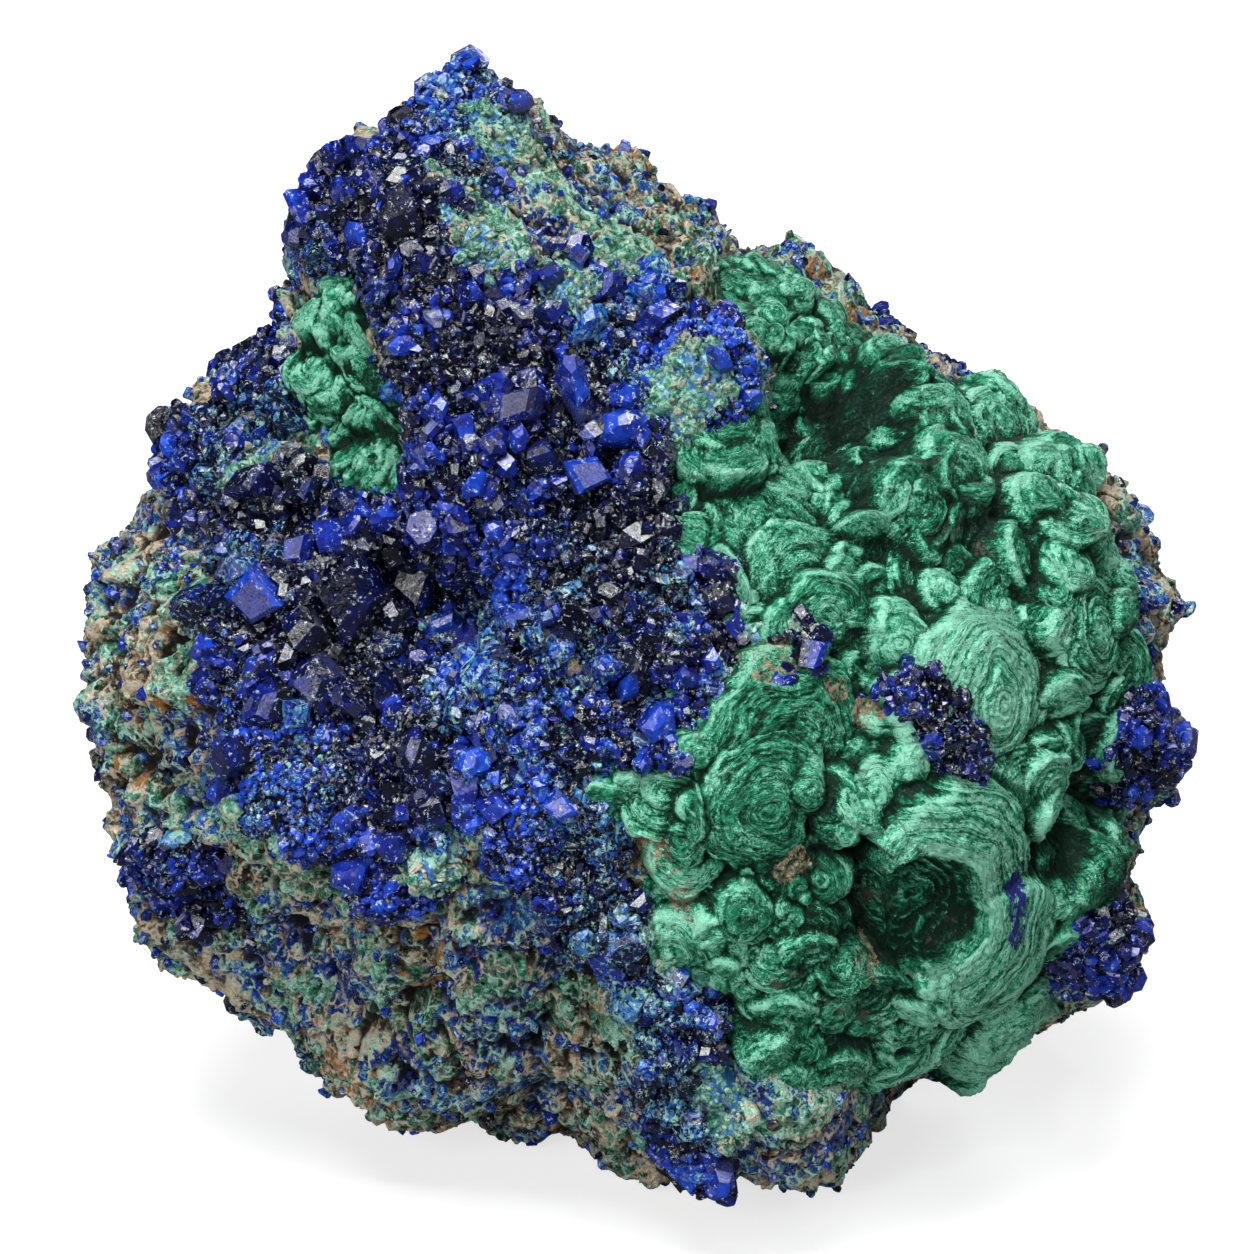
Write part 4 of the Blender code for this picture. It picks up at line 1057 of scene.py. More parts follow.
@dataclass(frozen=True)
class MalachiteFinish(Finish):
    """Banded silky malachite.

    Its bands are noise along the ring distance that the mesh keeps, and its fibres are noise that
    is drawn out along the rings, with painted light on crests and rims, painted shade in hollows and below
    rims.
    """

    dark: Colour = (0.002, 0.022, 0.012)
    deep: Colour = (0.003, 0.068, 0.034)
    mid: Colour = (0.010, 0.20, 0.096)
    bright: Colour = (0.040, 0.36, 0.20)
    pale: Colour = (0.28, 0.70, 0.50)
    dust: Colour = (0.17, 0.14, 0.10)
    earth: Colour = (0.42, 0.33, 0.20)
    azurite: Colour = (0.020, 0.022, 0.20)
    band_mm: float = 0.85

    def material(self) -> bpy.types.Material:
        """Builds the material."""
        made, nodes, shader, grain = self.start(0.0)
        ring = nodes.attribute("ring")
        inputs = {"W": nodes.math("DIVIDE", ring, self.band_mm)}
        inputs |= {"Scale": 1.0, "Detail": 3.0, "Roughness": 0.75}
        bands = nodes.add("TexNoise", inputs, noise_dimensions="1D").outputs["Fac"]
        bands = nodes.spread(bands, 0.34, 0.66, -0.5, 0.5)
        curled = nodes.curled(1.3, 0.5)
        drawn = nodes.add("VectorMath", {0: curled, 3: 1.0 / MM}, operation="SCALE").outputs[0]
        along = nodes.add("CombineXYZ", {"X": nodes.times(ring, 2.8)}).outputs[0]
        along = nodes.add("VectorMath", {0: drawn, 1: along}, operation="ADD").outputs[0]
        inputs = {"Vector": along, "Scale": 1.0, "Detail": 4.0, "Roughness": 0.7}
        silk = nodes.add("TexNoise", inputs).outputs["Fac"]
        fibre = nodes.spread(silk, 0.3, 0.7, -0.5, 0.5)
        off_middle = nodes.math("ABSOLUTE", nodes.math("SUBTRACT", silk, 0.5))
        strands = nodes.spread(off_middle, 0.0, 0.06, 1.0, 0.0)
        curl = nodes.spread(nodes.noise(0.7, 4.0, 0.7, curled), 0.3, 0.7, -0.5, 0.5)
        cloud = nodes.spread(nodes.noise(4.5, 4.0, 0.6), 0.3, 0.7, -0.5, 0.5)
        threads = nodes.times(nodes.threads(0.5, curled, 0.07), nodes.spread(cloud, -0.3, 0.3, 0.25, 1.0))
        banding = nodes.attribute("banding")
        # painted shade in the hollows and a little painted light on the crests, from the mesh's height
        crest = nodes.spread(nodes.attribute("height"), 0.12, 0.64, -0.48, 0.1)
        level = nodes.total(
            nodes.math("MULTIPLY_ADD", nodes.attribute("pale"), 0.38, 0.01),
            nodes.times(bands, banding, 0.55),
            nodes.times(fibre, 0.3),
            nodes.times(strands, 0.27),
            nodes.times(curl, 0.3),
            nodes.times(cloud, 0.12),
            nodes.times(threads, 0.34),
            # painted highlight along the shell edges, and painted shadow below them and on the ground between
            # shells
            nodes.times(nodes.attribute("rim"), 0.32),
            crest,
        )
        level = nodes.math("MULTIPLY_ADD", level, 1.5, 0.04)
        stops = ((0.0, self.dark), (0.2, self.deep), (0.45, self.mid), (0.72, self.bright), (1.0, self.pale))
        base = nodes.ramp(level, stops)
        grime = nodes.mix(nodes.spread(curl, -0.2, 0.4), self.dust, self.earth)
        crumbly = nodes.spread(nodes.noise(0.45, 3.0, 0.7), 0.3, 0.7, -0.5, 0.5)
        hollow = nodes.spread(nodes.attribute("height"), 0.3, 0.7, 0.25, -0.35)
        lodged = nodes.total(nodes.attribute("earth"), nodes.times(curl, 0.6), crumbly, hollow)
        base = nodes.mix(nodes.spread(lodged, 0.85, 1.05), base, grime)
        dusty = nodes.spread(nodes.total(nodes.noise(5.0, 5.0, 0.7), nodes.times(curl, 0.1)), 0.60, 0.7)
        base = nodes.mix(nodes.times(dusty, 0.4), base, self.dust)
        blue = nodes.total(nodes.attribute("azure"), nodes.times(curl, 0.9), nodes.times(bands, 0.6))
        base = nodes.mix(nodes.spread(blue, 0.6, 0.85), base, self.azurite)
        nodes.tree.links.new(base, shader.inputs["Base Color"])
        height = nodes.total(
            nodes.times(grain.outputs["Height"], 0.4),
            nodes.times(fibre, 0.7),
            nodes.times(curl, 0.6),
            nodes.times(nodes.math("ADD", threads, strands), 0.4),
            nodes.times(bands, banding, 0.8),
        )
        shader.inputs["Specular IOR Level"].default_value = 0.25
        self.bump(nodes, height, shader)
        return made


@dataclass(frozen=True)
class AzuriteFinish(Finish):
    """Glassy azurite: each crystal face has its own tone, and some are frosted violet grey."""

    night: Colour = (0.0005, 0.0009, 0.006)
    navy: Colour = (0.0016, 0.0036, 0.042)
    royal: Colour = (0.0045, 0.014, 0.21)
    cobalt: Colour = (0.010, 0.062, 0.52)
    frost: Colour = (0.085, 0.085, 0.18)
    teal: Colour = (0.014, 0.14, 0.38)
    mint: Colour = (0.26, 0.54, 0.42)
    glint: Colour = (0.55, 0.66, 0.72)
    facet_mm: float = 0.75

    def facets(self, nodes: Nodes) -> bpy.types.NodeSocket:
        """Heights in metres of many little flat faces, each a cell of its own that tilts its own way."""
        cells = nodes.add("TexVoronoi", {"Vector": nodes.place(), "Scale": 1.0 / (self.facet_mm * MM)})
        away = nodes.add("VectorMath", {0: nodes.place(), 1: cells.outputs["Position"]}, operation="SUBTRACT")
        lean = nodes.add("VectorMath", {0: cells.outputs["Color"], 1: (0.5, 0.5, 0.5)}, operation="SUBTRACT")
        both = {0: away.outputs[0], 1: lean.outputs[0]}
        return nodes.add("VectorMath", both, operation="DOT_PRODUCT").outputs["Value"]

    def material(self) -> bpy.types.Material:
        """Builds the material."""
        made, nodes, shader, grain = self.start(0.02)
        cloud = nodes.spread(nodes.noise(0.9, 3.0), 0.3, 0.7, -0.16, 0.16)
        # painted shade: each crystal darker towards its base, from the mesh's rise
        sunk = nodes.spread(nodes.attribute("rise"), 0.0, 0.75, -0.55, 0.0)
        tone = nodes.total(nodes.attribute("tint"), cloud, sunk)
        base = nodes.ramp(tone, ((0.0, self.night), (0.3, self.navy), (0.62, self.royal), (1.0, self.cobalt)))
        etched = nodes.spread(nodes.noise(0.2, 4.0, 0.8), 0.36, 0.62, 0.15, 1.0)
        frost = nodes.times(nodes.attribute("frost"), etched)
        base = nodes.mix(frost, base, self.frost)
        curled = nodes.curled(1.4, 0.5)
        ragged = nodes.spread(nodes.noise(0.55, 4.0, 0.7, curled), 0.3, 0.7, -0.5, 0.5)
        film = nodes.spread(nodes.total(nodes.attribute("film"), ragged), 0.5, 0.8, 0.0, 0.9)
        coat = nodes.mix(nodes.spread(nodes.noise(1.0, 3.0, 0.6, curled), 0.47, 0.62), self.teal, self.mint)
        base = nodes.mix(film, base, coat)
        # painted glints: thin pale flecks in place of light caught on tiny facets, fewer on frosted faces
        painted_glints = nodes.threads(0.36, curled, 0.05)
        painted_glints = nodes.times(painted_glints, nodes.spread(nodes.noise(0.6, 2.0), 0.57, 0.64))
        painted_glints = nodes.times(painted_glints, nodes.spread(nodes.attribute("frost"), 0.0, 0.3, 1.0, 0.2))
        base = nodes.mix(painted_glints, base, self.glint)
        nodes.tree.links.new(base, shader.inputs["Base Color"])
        dull = nodes.math("MAXIMUM", frost, film)
        rough = nodes.add("MapRange", {"Value": dull, "To Min": self.roughness, "To Max": 0.5})
        nodes.tree.links.new(rough.outputs["Result"], shader.inputs["Roughness"])
        shader.inputs["IOR"].default_value = 1.66
        shader.inputs["Specular IOR Level"].default_value = 0.42
        grainy = nodes.times(nodes.total(grain.outputs["Height"], ragged), self.bump_mm * MM)
        tilted = nodes.times(self.facets(nodes), nodes.attribute("cut"))
        inputs = {"Height": nodes.math("ADD", grainy, tilted), "Strength": 1.0, "Distance": 1.0}
        made_bump = nodes.add("Bump", inputs)
        nodes.tree.links.new(made_bump.outputs["Normal"], shader.inputs["Normal"])
        return made


# ------------------------------------------------------------------ grains and crystals


class Growth(Enum):
    """Shapes of grains and crystals: sides, unevenness, thinnest width, and each ring's height
    and scale."""

    BLOCK = (4, 0.16, 0.6, ((-0.45, 0.55), (-0.25, 1.0), (0.26, 1.0), (0.40, 0.72)))
    PRISM = (6, 0.24, 0.5, ((-0.45, 0.5), (-0.3, 1.0), (0.3, 1.0), (0.52, 0.55)))
    WEDGE = (5, 0.30, 0.4, ((-0.45, 0.6), (-0.2, 1.0), (0.15, 1.0), (0.50, 0.38)))
    TABLE = (7, 0.24, 0.6, ((-0.3, 0.6), (-0.15, 1.0), (0.12, 1.0), (0.26, 0.78)))
    STUMP = (5, 0.34, 0.7, ((-0.45, 0.6), (-0.2, 1.0), (0.14, 1.0), (0.34, 0.66), (0.40, 0.34)))
    BLADE = (4, 0.22, 0.28, ((-0.5, 0.5), (-0.25, 1.0), (0.35, 0.95), (0.60, 0.45)))
    CRUMB = (5, 0.35, 0.6, ((-0.35, 0.8), (0.05, 1.0), (0.34, 0.55)))
    NODULE = (6, 0.2, 0.65, ((-0.35, 0.8), (-0.02, 1.0), (0.26, 0.82), (0.42, 0.42)))

    def shape(self, rng: np.random.Generator) -> tuple[Array, Array, Array]:
        """One body of this kind: rings of one uneven polygon, scaled and shifted up its axis.

        Args:
            rng: source of the unevenness.

        Returns:
            Points about one unit across, triangles that point outwards, and the number of the flat
            face that each triangle is part of, the top one first.
        """
        sides, uneven, thin, rings = self.value
        angle = (np.arange(sides) + rng.uniform(-uneven, uneven, sides)) * (2.0 * math.pi / sides)
        stretch = rng.uniform(thin, 1.15, 2)
        outline = np.column_stack([np.cos(angle) * stretch[0], np.sin(angle) * stretch[1]]) * 0.56
        lean = rng.uniform(-0.14, 0.14, 2)
        tilt = rng.uniform(-0.3, 0.3, 2)
        layers = []
        for number, (height, scale) in enumerate(rings):
            shift = lean * (height + 0.3) + rng.uniform(-0.05, 0.05, 2) * (1.0 - scale)
            ring = outline * scale + shift
            slope = ring @ tilt * (height > 0.1)
            layers.append(np.column_stack([ring, height + slope]))
        points = np.vstack(layers)
        step = np.arange(sides)
        after = (step + 1) % sides
        faces, groups = [], []
        for ring in range(len(rings) - 1):
            low, high = ring * sides, (ring + 1) * sides
            faces += [np.column_stack([low + step, low + after, high + after])]
            faces += [np.column_stack([low + step, high + after, high + step])]
            groups += [1 + low + step, 1 + low + step]
        fan = np.arange(1, sides - 1)
        top = (len(rings) - 1) * sides
        faces += [np.column_stack([np.full(sides - 2, top), top + fan, top + fan + 1])]
        faces += [np.column_stack([np.zeros(sides - 2, int), fan + 1, fan])]
        groups += [np.zeros(sides - 2, int), np.full(sides - 2, 1 + top)]
        return points, np.vstack(faces), np.concatenate(groups)


def stances(normals: Array, lean: Array | float, rng: np.random.Generator) -> Array:
    """Turning matrices whose third axis is a leaned normal and whose spin is random.

    Args:
        normals: unit normals.
        lean: how far each axis leans off its normal, as a share of it, or one share for all.
        rng: source of the lean and spin.

    Returns:
        One matrix for each normal, with the new axes as columns.
    """
    share = np.broadcast_to(lean, len(normals))[:, None]
    axis = unit(normals + rng.normal(size=normals.shape) * share)
    first = unit(np.cross(rng.normal(size=normals.shape), axis))
    return np.stack([first, np.cross(axis, first), axis], axis=2)


@dataclass
class Swarm:
    """Many grains or crystals as one set of arrays."""

    points: Array
    rise: Array
    faces: Array
    owner: Array
    group: Array

    @staticmethod
    def grow(
        places: Array, turns: Array, sizes: Array, growths: Sequence[Growth], rng: np.random.Generator,
        kinds: int = 5,
    ) -> Swarm:
        """Copies uneven shapes to every place.

        Args:
            places: where each body's middle is.
            turns: a turning matrix for each.
            sizes: each body's size.
            growths: the shapes to draw from.
            rng: source of the choice.
            kinds: uneven versions made of each shape.

        Returns:
            The swarm: how far up its body each point is, from 0 to 1, and the number of its body
            and of its flat face for each triangle.
        """
        shapes = [growth.shape(rng) for growth in growths for _ in range(kinds)]
        choice = rng.integers(0, len(shapes), len(places))
        points, rises, faces, owners, groups, count = [], [], [], [], [], 0
        for number, (body, triangles, group) in enumerate(shapes):
            which = np.nonzero(choice == number)[0]
            moved = np.einsum("nij,pj->npi", turns[which], body) * sizes[which, None, None]
            moved += places[which, None, :]
            offset = count + np.arange(len(which))[:, None, None] * len(body)
            points.append(moved.reshape(-1, 3))
            height = (body[:, 2] - body[:, 2].min()) / np.ptp(body[:, 2])
            rises.append(np.tile(height, len(which)))
            faces.append((triangles[None, :, :] + offset).reshape(-1, 3))
            owners.append(np.repeat(which, len(triangles)))
            groups.append(np.tile(group, len(which)))
            count += len(which) * len(body)
        parts = (np.vstack(points), np.concatenate(rises), np.vstack(faces))
        return Swarm(*parts, np.concatenate(owners), np.concatenate(groups))


def thinned(points: Array, spacing: float, rng: np.random.Generator) -> Array:
    """Indices of at most one point in each cubic cell of the spacing, picked at random."""
    order = rng.permutation(len(points))
    cells = np.floor(points[order] / spacing + 1000.0).astype(np.int64)
    keys = (cells[:, 0] * 4096 + cells[:, 1]) * 4096 + cells[:, 2]
    _, first = np.unique(keys, return_index=True)
    return order[np.sort(first)]


# ------------------------------------------------------------------ the rock


class Mineral(Enum):
    """What a grain on the rock is made of: a name, its share where nothing stains the rock, its
    share where its own stain is full, its size in millimetres and its shapes."""

    EARTH = ("earth", 0.44, 0.0, 1.0, (Growth.CRUMB, Growth.WEDGE))
    OCHRE = ("ochre", 0.02, 0.5, 0.9, (Growth.CRUMB,))
    GREEN = ("green", 0.16, 0.8, 0.95, (Growth.NODULE, Growth.CRUMB))
    MINT = ("mint", 0.12, 0.7, 0.75, (Growth.CRUMB, Growth.BLADE))
    BLUE = ("blue", 0.16, 2.6, 1.25, (Growth.BLOCK, Growth.PRISM, Growth.WEDGE, Growth.BLADE))


@dataclass
class HostRock:
    """The granular rock that carries the minerals, and the loose-looking grains on it."""

    stone: Stone
    glassy: AzuriteFinish
    cells: int = 246
    knob: tuple[float, float] = (5.0, 2.5)
    coarse: tuple[float, float] = (2.5, 1.7)
    fine: tuple[float, float] = (1.2, 0.75)
    pit_size: float = 4.4
    pit_depth: float = 2.2
    lace_size: float = 1.35
    lace_depth: float = 0.75
    grain_spacing: float = 2.1
    wander: float = 3.2
    least_height: float = 1.2
    most_triangles: int = 180_000
    triangles_each: int = 44
    sides: tuple[str, ...] = ("right", "left", "top", "bottom", "front", "back")
    mottling: dict[Mineral, float] = field(
        default_factory=lambda: {
            Mineral.GREEN: 0.5, Mineral.MINT: 0.42, Mineral.BLUE: 0.4, Mineral.OCHRE: 0.25,
        }
    )
    finish: RockFinish = RockFinish("rock_finish", 0.58, 0.36, 0.3)
    points: Array = field(init=False)
    normals: Array = field(init=False)
    values: dict[str, Array] = field(init=False)
    bare: Array = field(init=False)

    def stains(self, face: Array) -> dict[str, Array]:
        """The rock's stains: placed patches on the show face and drifts of noise on the rest."""
        points = face * self.stone.plain_radius(face)[:, None]
        behind = smoothstep(0.25, -0.15, face[:, 2])
        masks = {}
        tables = (
            ("mint", MINT_PATCHES, 0.52),
            ("blue", BLUE_PATCHES, 0.16),
            ("green", GREEN_PATCHES, 0.26),
            ("ochre", OCHRE_PATCHES, 0.46),
        )
        for number, (name, table, level) in enumerate(tables):
            channel = 200 + 10 * number
            cloud = smooth_noise(points, 7.0, channel) + 0.6 * smooth_noise(points, 3.0, channel + 1)
            cloud += 0.4 * smooth_noise(points, 1.2, channel + 2)
            ragged = smoothstep(level, level + 0.4, cloud) * np.maximum(behind, 0.75)
            masks[name] = np.maximum(self.stone.stain(face, table, channel + 4), ragged)
        return masks

    def build(self) -> None:
        """The rock's skin: its distance in every direction, with packed lumps, lace and pits.

        Each small lump draws a mineral of its own, more often one that stains the rock there.
        Behind the show face the rays are bent by noise, so that no step of the form runs straight.
        The rock is parted along the planes of a cube into six pieces that meet at its middle.
        """
        face, quads = cube_sphere(self.cells)
        points = face * self.stone.plain_radius(face)[:, None]
        behind = smoothstep(0.25, -0.1, face[:, 2])[:, None]
        ray = unit(points + behind * (drift(points, 8.0, self.wander, 35) - points))
        points = ray * self.stone.plain_radius(ray)[:, None]
        masks = self.stains(ray)
        bent = drift(points, 2.4, 0.8, 55)
        knob, _ = packed_lumps(drift(points, 5.0, 1.4, 45), self.knob[0], 41)
        lump, tint = packed_lumps(bent, self.coarse[0], 61)
        small, small_tint = packed_lumps(bent, self.fine[0], 71)
        pores, _ = packed_lumps(drift(points, 1.0, 0.35, 75), self.lace_size, 78)
        relief = self.knob[1] * (knob - 0.62) + self.coarse[1] * (lump - 0.6) + self.fine[1] * (small - 0.5)
        relief += 0.16 * smooth_noise(points, 0.6, 81)
        lace = self.lace_depth * (0.62 - smoothstep(0.3, 0.85, pores))
        relief += masks["mint"] * (lace - 0.35 * relief + 0.3)
        pits = smoothstep(0.22, 0.62, smooth_noise(bent, self.pit_size, 91)) * (1.0 - 0.8 * masks["mint"])
        relief -= self.pit_depth * pits
        radius = self.stone.rock_radius(ray) + relief
        radius = np.minimum(radius, self.stone.floor_limit(face))
        self.points = face * radius[:, None]
        self.normals = grid_normals(self.points, quads)
        # the finish paints shade into the hollows and light onto the crests from this height
        height = standing_out(radius, quads, (2, 40))
        ground = 0.46 + 0.30 * smooth_noise(points, 8.0, 95) + 0.5 * (tint - 0.5) + 0.6 * (small_tint - 0.5)
        cream = self.stone.stain(ray, CREAM_PATCHES, 248)
        masks["blue"] = masks["blue"] * (1.0 - 0.6 * cream)
        self.values = dict(masks, height=height, tint=np.clip(ground + 0.3 * cream, 0.0, 1.0))
        for number, (name, share) in enumerate((("blue", 0.19), ("green", 0.13), ("mint", 0.05))):
            mask = masks[name]
            draw = (tint * 7.0 + 0.31 * number) % 1.0
            small_draw = (small_tint * 7.0 + 0.31 * number + 3.0 * tint) % 1.0
            own = smoothstep(0.0, 0.1, share + 0.3 * mask - draw)
            own = np.maximum(own, smoothstep(0.0, 0.1, 0.5 * share + 0.2 * mask - small_draw))
            self.values[name] = np.maximum(0.8 * mask, 0.85 * own)
        growths = ((MALACHITE_DOMES, MALACHITE_GROUND), (SEAM_LOBES,), (TOP_NODULES, NODULE_GROUND))
        covers = [self.stone.lobed_cover(face, *growth) for growth in growths]
        covered = np.maximum.reduce([*covers, self.stone.patch_cover(face, DRUSE_PATCHES)])
        above = self.stone.to_world(self.points)[:, 2] > self.least_height * MM
        self.bare = np.nonzero((covered < 0.12) & above)[0]
        for side, part in zip(self.sides, np.array_split(quads, len(self.sides))):
            used, index = np.unique(part, return_inverse=True)
            part = index.reshape(part.shape)
            corners = self.stone.to_world(np.vstack([self.points[used], np.zeros(3)]))
            values = {key: np.append(numbers[used], 0.5) for key, numbers in self.values.items()}
            shell = [part, closing_cone(part, len(used))]
            piece = mesh_object(f"host_rock_{side}", corners, shell, self.finish.shared(), values)
            place_piece(piece, "host_rock")

    def scatter(self, mineral: Mineral, where: Array, rng: np.random.Generator) -> None:
        """One mineral's grains on the bare rock, in pieces that stay under the limit of triangles.

        Args:
            mineral: what they are made of.
            where: the rock's points that carry a grain.
            rng: source of their sizes, turns and tones.
        """
        name, _, _, size, growths = mineral.value
        glassy = mineral is Mineral.BLUE
        material = (self.glassy if glassy else self.finish).shared()
        most = self.most_triangles // self.triangles_each
        for number, part in enumerate(np.array_split(where, len(where) // most + 1)):
            sizes = size * rng.uniform(0.5, 1.2, len(part)) * np.where(rng.random(len(part)) < 0.05, 1.6, 1.0)
            sizes *= 0.7 + 0.55 * self.values["height"][part]
            places = self.points[part] - self.normals[part] * (0.12 * sizes)[:, None]
            turns = stances(self.normals[part], 0.45, rng)
            swarm = Swarm.grow(places, turns, sizes, growths, rng)
            tone = rng.random(len(part))
            values = {"rise": swarm.rise}
            if glassy:
                facet = rng.uniform(-0.22, 0.22, (len(part), MOST_FACETS))[swarm.owner, swarm.group]
                values["tint"] = np.clip(0.1 + 0.75 * tone[swarm.owner] + facet, 0.0, 1.0)
                values["frost"] = (facet > 0.19) * 0.8
                values["film"] = rng.uniform(0.0, 0.75, len(part))[swarm.owner]
                values["cut"] = np.full(len(swarm.faces), 0.25)
            else:
                earth = np.clip(self.values["tint"][part] - 0.35 + 0.8 * tone, 0.0, 1.0)
                # each grain takes half the rock's height where it sits, so the finish paints shade on grains
                # in hollows; the rest differs at random
                low = 0.5 * self.values["height"][part] + 0.2 * tone
                values["tint"] = earth[swarm.owner]
                values["height"] = low[swarm.owner]
                for mask in Mineral:
                    if mask is not Mineral.EARTH:
                        own = 0.78 if mask is mineral else 0.0
                        other = rng.uniform(0.0, self.mottling.get(mask, 0.3), len(part))
                        values[mask.value[0]] = np.maximum(own, other)[swarm.owner]
            made = mesh_object(
                f"rock_{name}_grains_{number}", self.stone.to_world(swarm.points), [swarm.faces], material,
                values, mineral is Mineral.GREEN,
            )
            place_piece(made, "host_rock")

    def grow_grains(self) -> None:
        """Grains all over the bare rock, each of a mineral drawn by the stains round it."""
        rng = np.random.default_rng(5)
        seeds = self.bare[thinned(self.points[self.bare], self.grain_spacing, rng)]
        none = np.zeros(len(self.points))
        shares = []
        for name, plain, full, *_ in (kind.value for kind in Mineral):
            shares.append(plain + full * self.values.get(name, none)[seeds] ** 2)
        shares = np.array(shares)
        edges = np.cumsum(shares / shares.sum(axis=0), axis=0)
        choice = (rng.random(len(seeds)) > edges).sum(axis=0)
        for number, kind in enumerate(Mineral):
            self.scatter(kind, seeds[choice == number], rng)


# ------------------------------------------------------------------ malachite


def layers(depth: Array, channel: int) -> Array:
    """Height of layers of uneven boldness: each swells along its width and drops sharply at its end.

    Args:
        depth: place across the layers, one layer for each whole number.
        channel: which set of boldness is read.

    Returns:
        One height for each place.
    """
    whole = np.floor(depth)
    part = depth - whole
    boldness = 0.3 + 0.9 * lattice_value(*[(whole + 4096).astype(np.uint32)] * 3, channel)
    return boldness * (smoothstep(0.0, 0.86, part) - smoothstep(0.9, 1.0, part))


@dataclass
class Caps:
    """Shells with rounded backs: each is the cap of a ball that ends in a sharp, uneven edge."""

    centres: Array
    axes: Array
    radii: Array
    reaches: Array
    banding: Array
    paleness: Array

    def meet(self, index: int, ray: Array, wobble: Array) -> tuple[Array, Array]:
        """Where rays leave one cap's ball.

        Args:
            index: number of the cap.
            ray: unit directions.
            wobble: what the cap's reach is multiplied by for each ray.

        Returns:
            The distance along each ray, and how far inside the cap's edge it is there.
        """
        centre, radius = self.centres[index], self.radii[index]
        along = ray @ centre
        room = radius**2 - centre @ centre + along**2
        leave = np.where(room > 0.0, along + np.sqrt(np.maximum(room, 0.0)), 0.0)
        rise = leave * (ray @ self.axes[index]) - centre @ self.axes[index]
        apart = np.sqrt(np.maximum(radius**2 - rise**2, 0.0))
        inside = self.reaches[index] * wobble - apart
        return leave, np.where((room > 0.0) & (rise > 0.0), inside, -9.0)


@dataclass
class LobedMalachite:
    """A malachite growth of shells that overlap, with ring distances for their bands."""

    stone: Stone
    node: str
    lobes: Sequence[Sequence[float]]
    ground: Sequence[Sequence[float]]
    bowls: Sequence[Sequence[float]]
    cells: int
    finish: MalachiteFinish
    small: Sequence[Sequence[float]] = ()
    quiet: Sequence[Sequence[float]] = ()
    petal_spacing: float = 2.1
    petal_size: tuple[float, float] = (0.8, 4.0)
    petal_rise: tuple[float, float] = (0.6, 1.8)
    petal_lean: float = 0.42
    flatness: float = 1.45
    bend_mm: float = 1.0
    lip_drop: float = 0.25
    lip_width: float = 0.4
    skirt_slope: float = 2.2
    skirt_width: float = 3.0
    shell_mm: float = 2.6
    shell_height: float = 0.55
    ridge_mm: float = 0.64
    ridge_height: float = 0.38
    reach_more: float = 1.0
    roughness_mm: float = 0.42
    rim_turn: float = 0.25
    petals: Caps | None = None

    def domes(self) -> Caps:
        """The main shells: flatter than the balls that they stand for, cut where those meet the stone."""
        rows = np.array(self.lobes, float)
        radii = rows[:, 2] * self.flatness
        centres, poles = self.stone.balls(rows[:, :2], rows[:, 3] - radii)
        reaches = self.reach_more * np.sqrt(2.0 * rows[:, 2] * rows[:, 3] - rows[:, 3] ** 2)
        return Caps(centres, poles, radii, reaches, rows[:, 4], rows[:, 5])

    def knobs(self) -> Caps:
        """The small growths in the bowls and on the shelves, nearly whole balls."""
        rows = np.array(self.small, float)
        centres, poles = self.stone.balls(rows[:, :2], -rows[:, 3])
        return Caps(centres, poles, rows[:, 2], 0.95 * rows[:, 2], rows[:, 4], rows[:, 5])

    def grow_petals(self, face: Array, quads: Array, seed: int) -> Caps:
        """Small leaned shells all over the growth, but not on its quiet parts.

        Args:
            face: unit directions of the growth's grid.
            quads: the grid's squares.
            seed: number that the draw starts from.

        Returns:
            The shells, set on the skin that is there so far.
        """
        rng = np.random.default_rng(seed)
        radius, values = self.skin(face)
        points = face * radius[:, None]
        free = self.stone.lobed_cover(face, self.lobes, self.ground) > 0.1
        if len(self.quiet):
            free &= self.stone.patch_cover(face, self.quiet) < 0.0
        free &= values["facing"] > 0.55
        where = np.nonzero(free)[0]
        where = where[thinned(points[where], self.petal_spacing, rng)]
        axes = unit(grid_normals(points, quads)[where] + face[where])
        axes = unit(axes + rng.normal(size=axes.shape) * self.petal_lean * 0.6)
        least, most = self.petal_size
        reaches = least + (most - least) * rng.random(len(where)) ** 2.2
        radii = reaches * rng.uniform(1.3, 2.8, len(where))
        rises = rng.uniform(*self.petal_rise, len(where)) * np.sqrt(reaches / most)
        centres = points[where] - axes * (radii - rises)[:, None]
        paleness = values["pale"][where] + rng.uniform(-0.22, 0.2, len(where))
        return Caps(centres, axes, radii, reaches, rng.uniform(0.15, 0.8, len(where)), paleness)

    def lay(self, caps: Caps, ray: Array, wobble: Array, state: dict[str, Array]) -> None:
        """Lays caps on the skin: whichever stands furthest out owns the point.

        Args:
            caps: the shells.
            ray: unit directions.
            wobble: what each shell's reach is multiplied by.
            state: the skin's distance, ring, banding, pale and facing, which are changed.
        """
        for index, radius in enumerate(caps.radii):
            crown = caps.centres[index] + caps.axes[index] * radius
            away = np.linalg.norm(crown)
            width = 1.4 * (1.3 * caps.reaches[index] + self.skirt_width) / away
            near = np.nonzero(ray @ (crown / away) > math.cos(min(width, 1.5)))[0]
            leave, inside = caps.meet(index, ray[near], wobble[near])
            lip = self.lip_drop * np.clip(1.0 - inside / self.lip_width, 0.0, 1.0) ** 2
            lip += self.skirt_slope * np.clip(-inside, 0.0, None)
            ahead = (inside > -self.skirt_width) & (leave - lip > state["radius"][near])
            at = near[ahead]
            spoke = ray[at] * leave[ahead, None] - caps.centres[index]
            turn = np.arccos(np.clip(spoke @ caps.axes[index] / radius, -1.0, 1.0))
            state["radius"][at] = (leave - lip)[ahead]
            state["edge"][at] = inside[ahead]
            state["ring"][at] = turn * radius
            state["banding"][at] = caps.banding[index]
            state["pale"][at] = caps.paleness[index]
            state["facing"][at] = np.sum(spoke * ray[at], axis=1) / radius
            state["inside"][at] *= 0.35

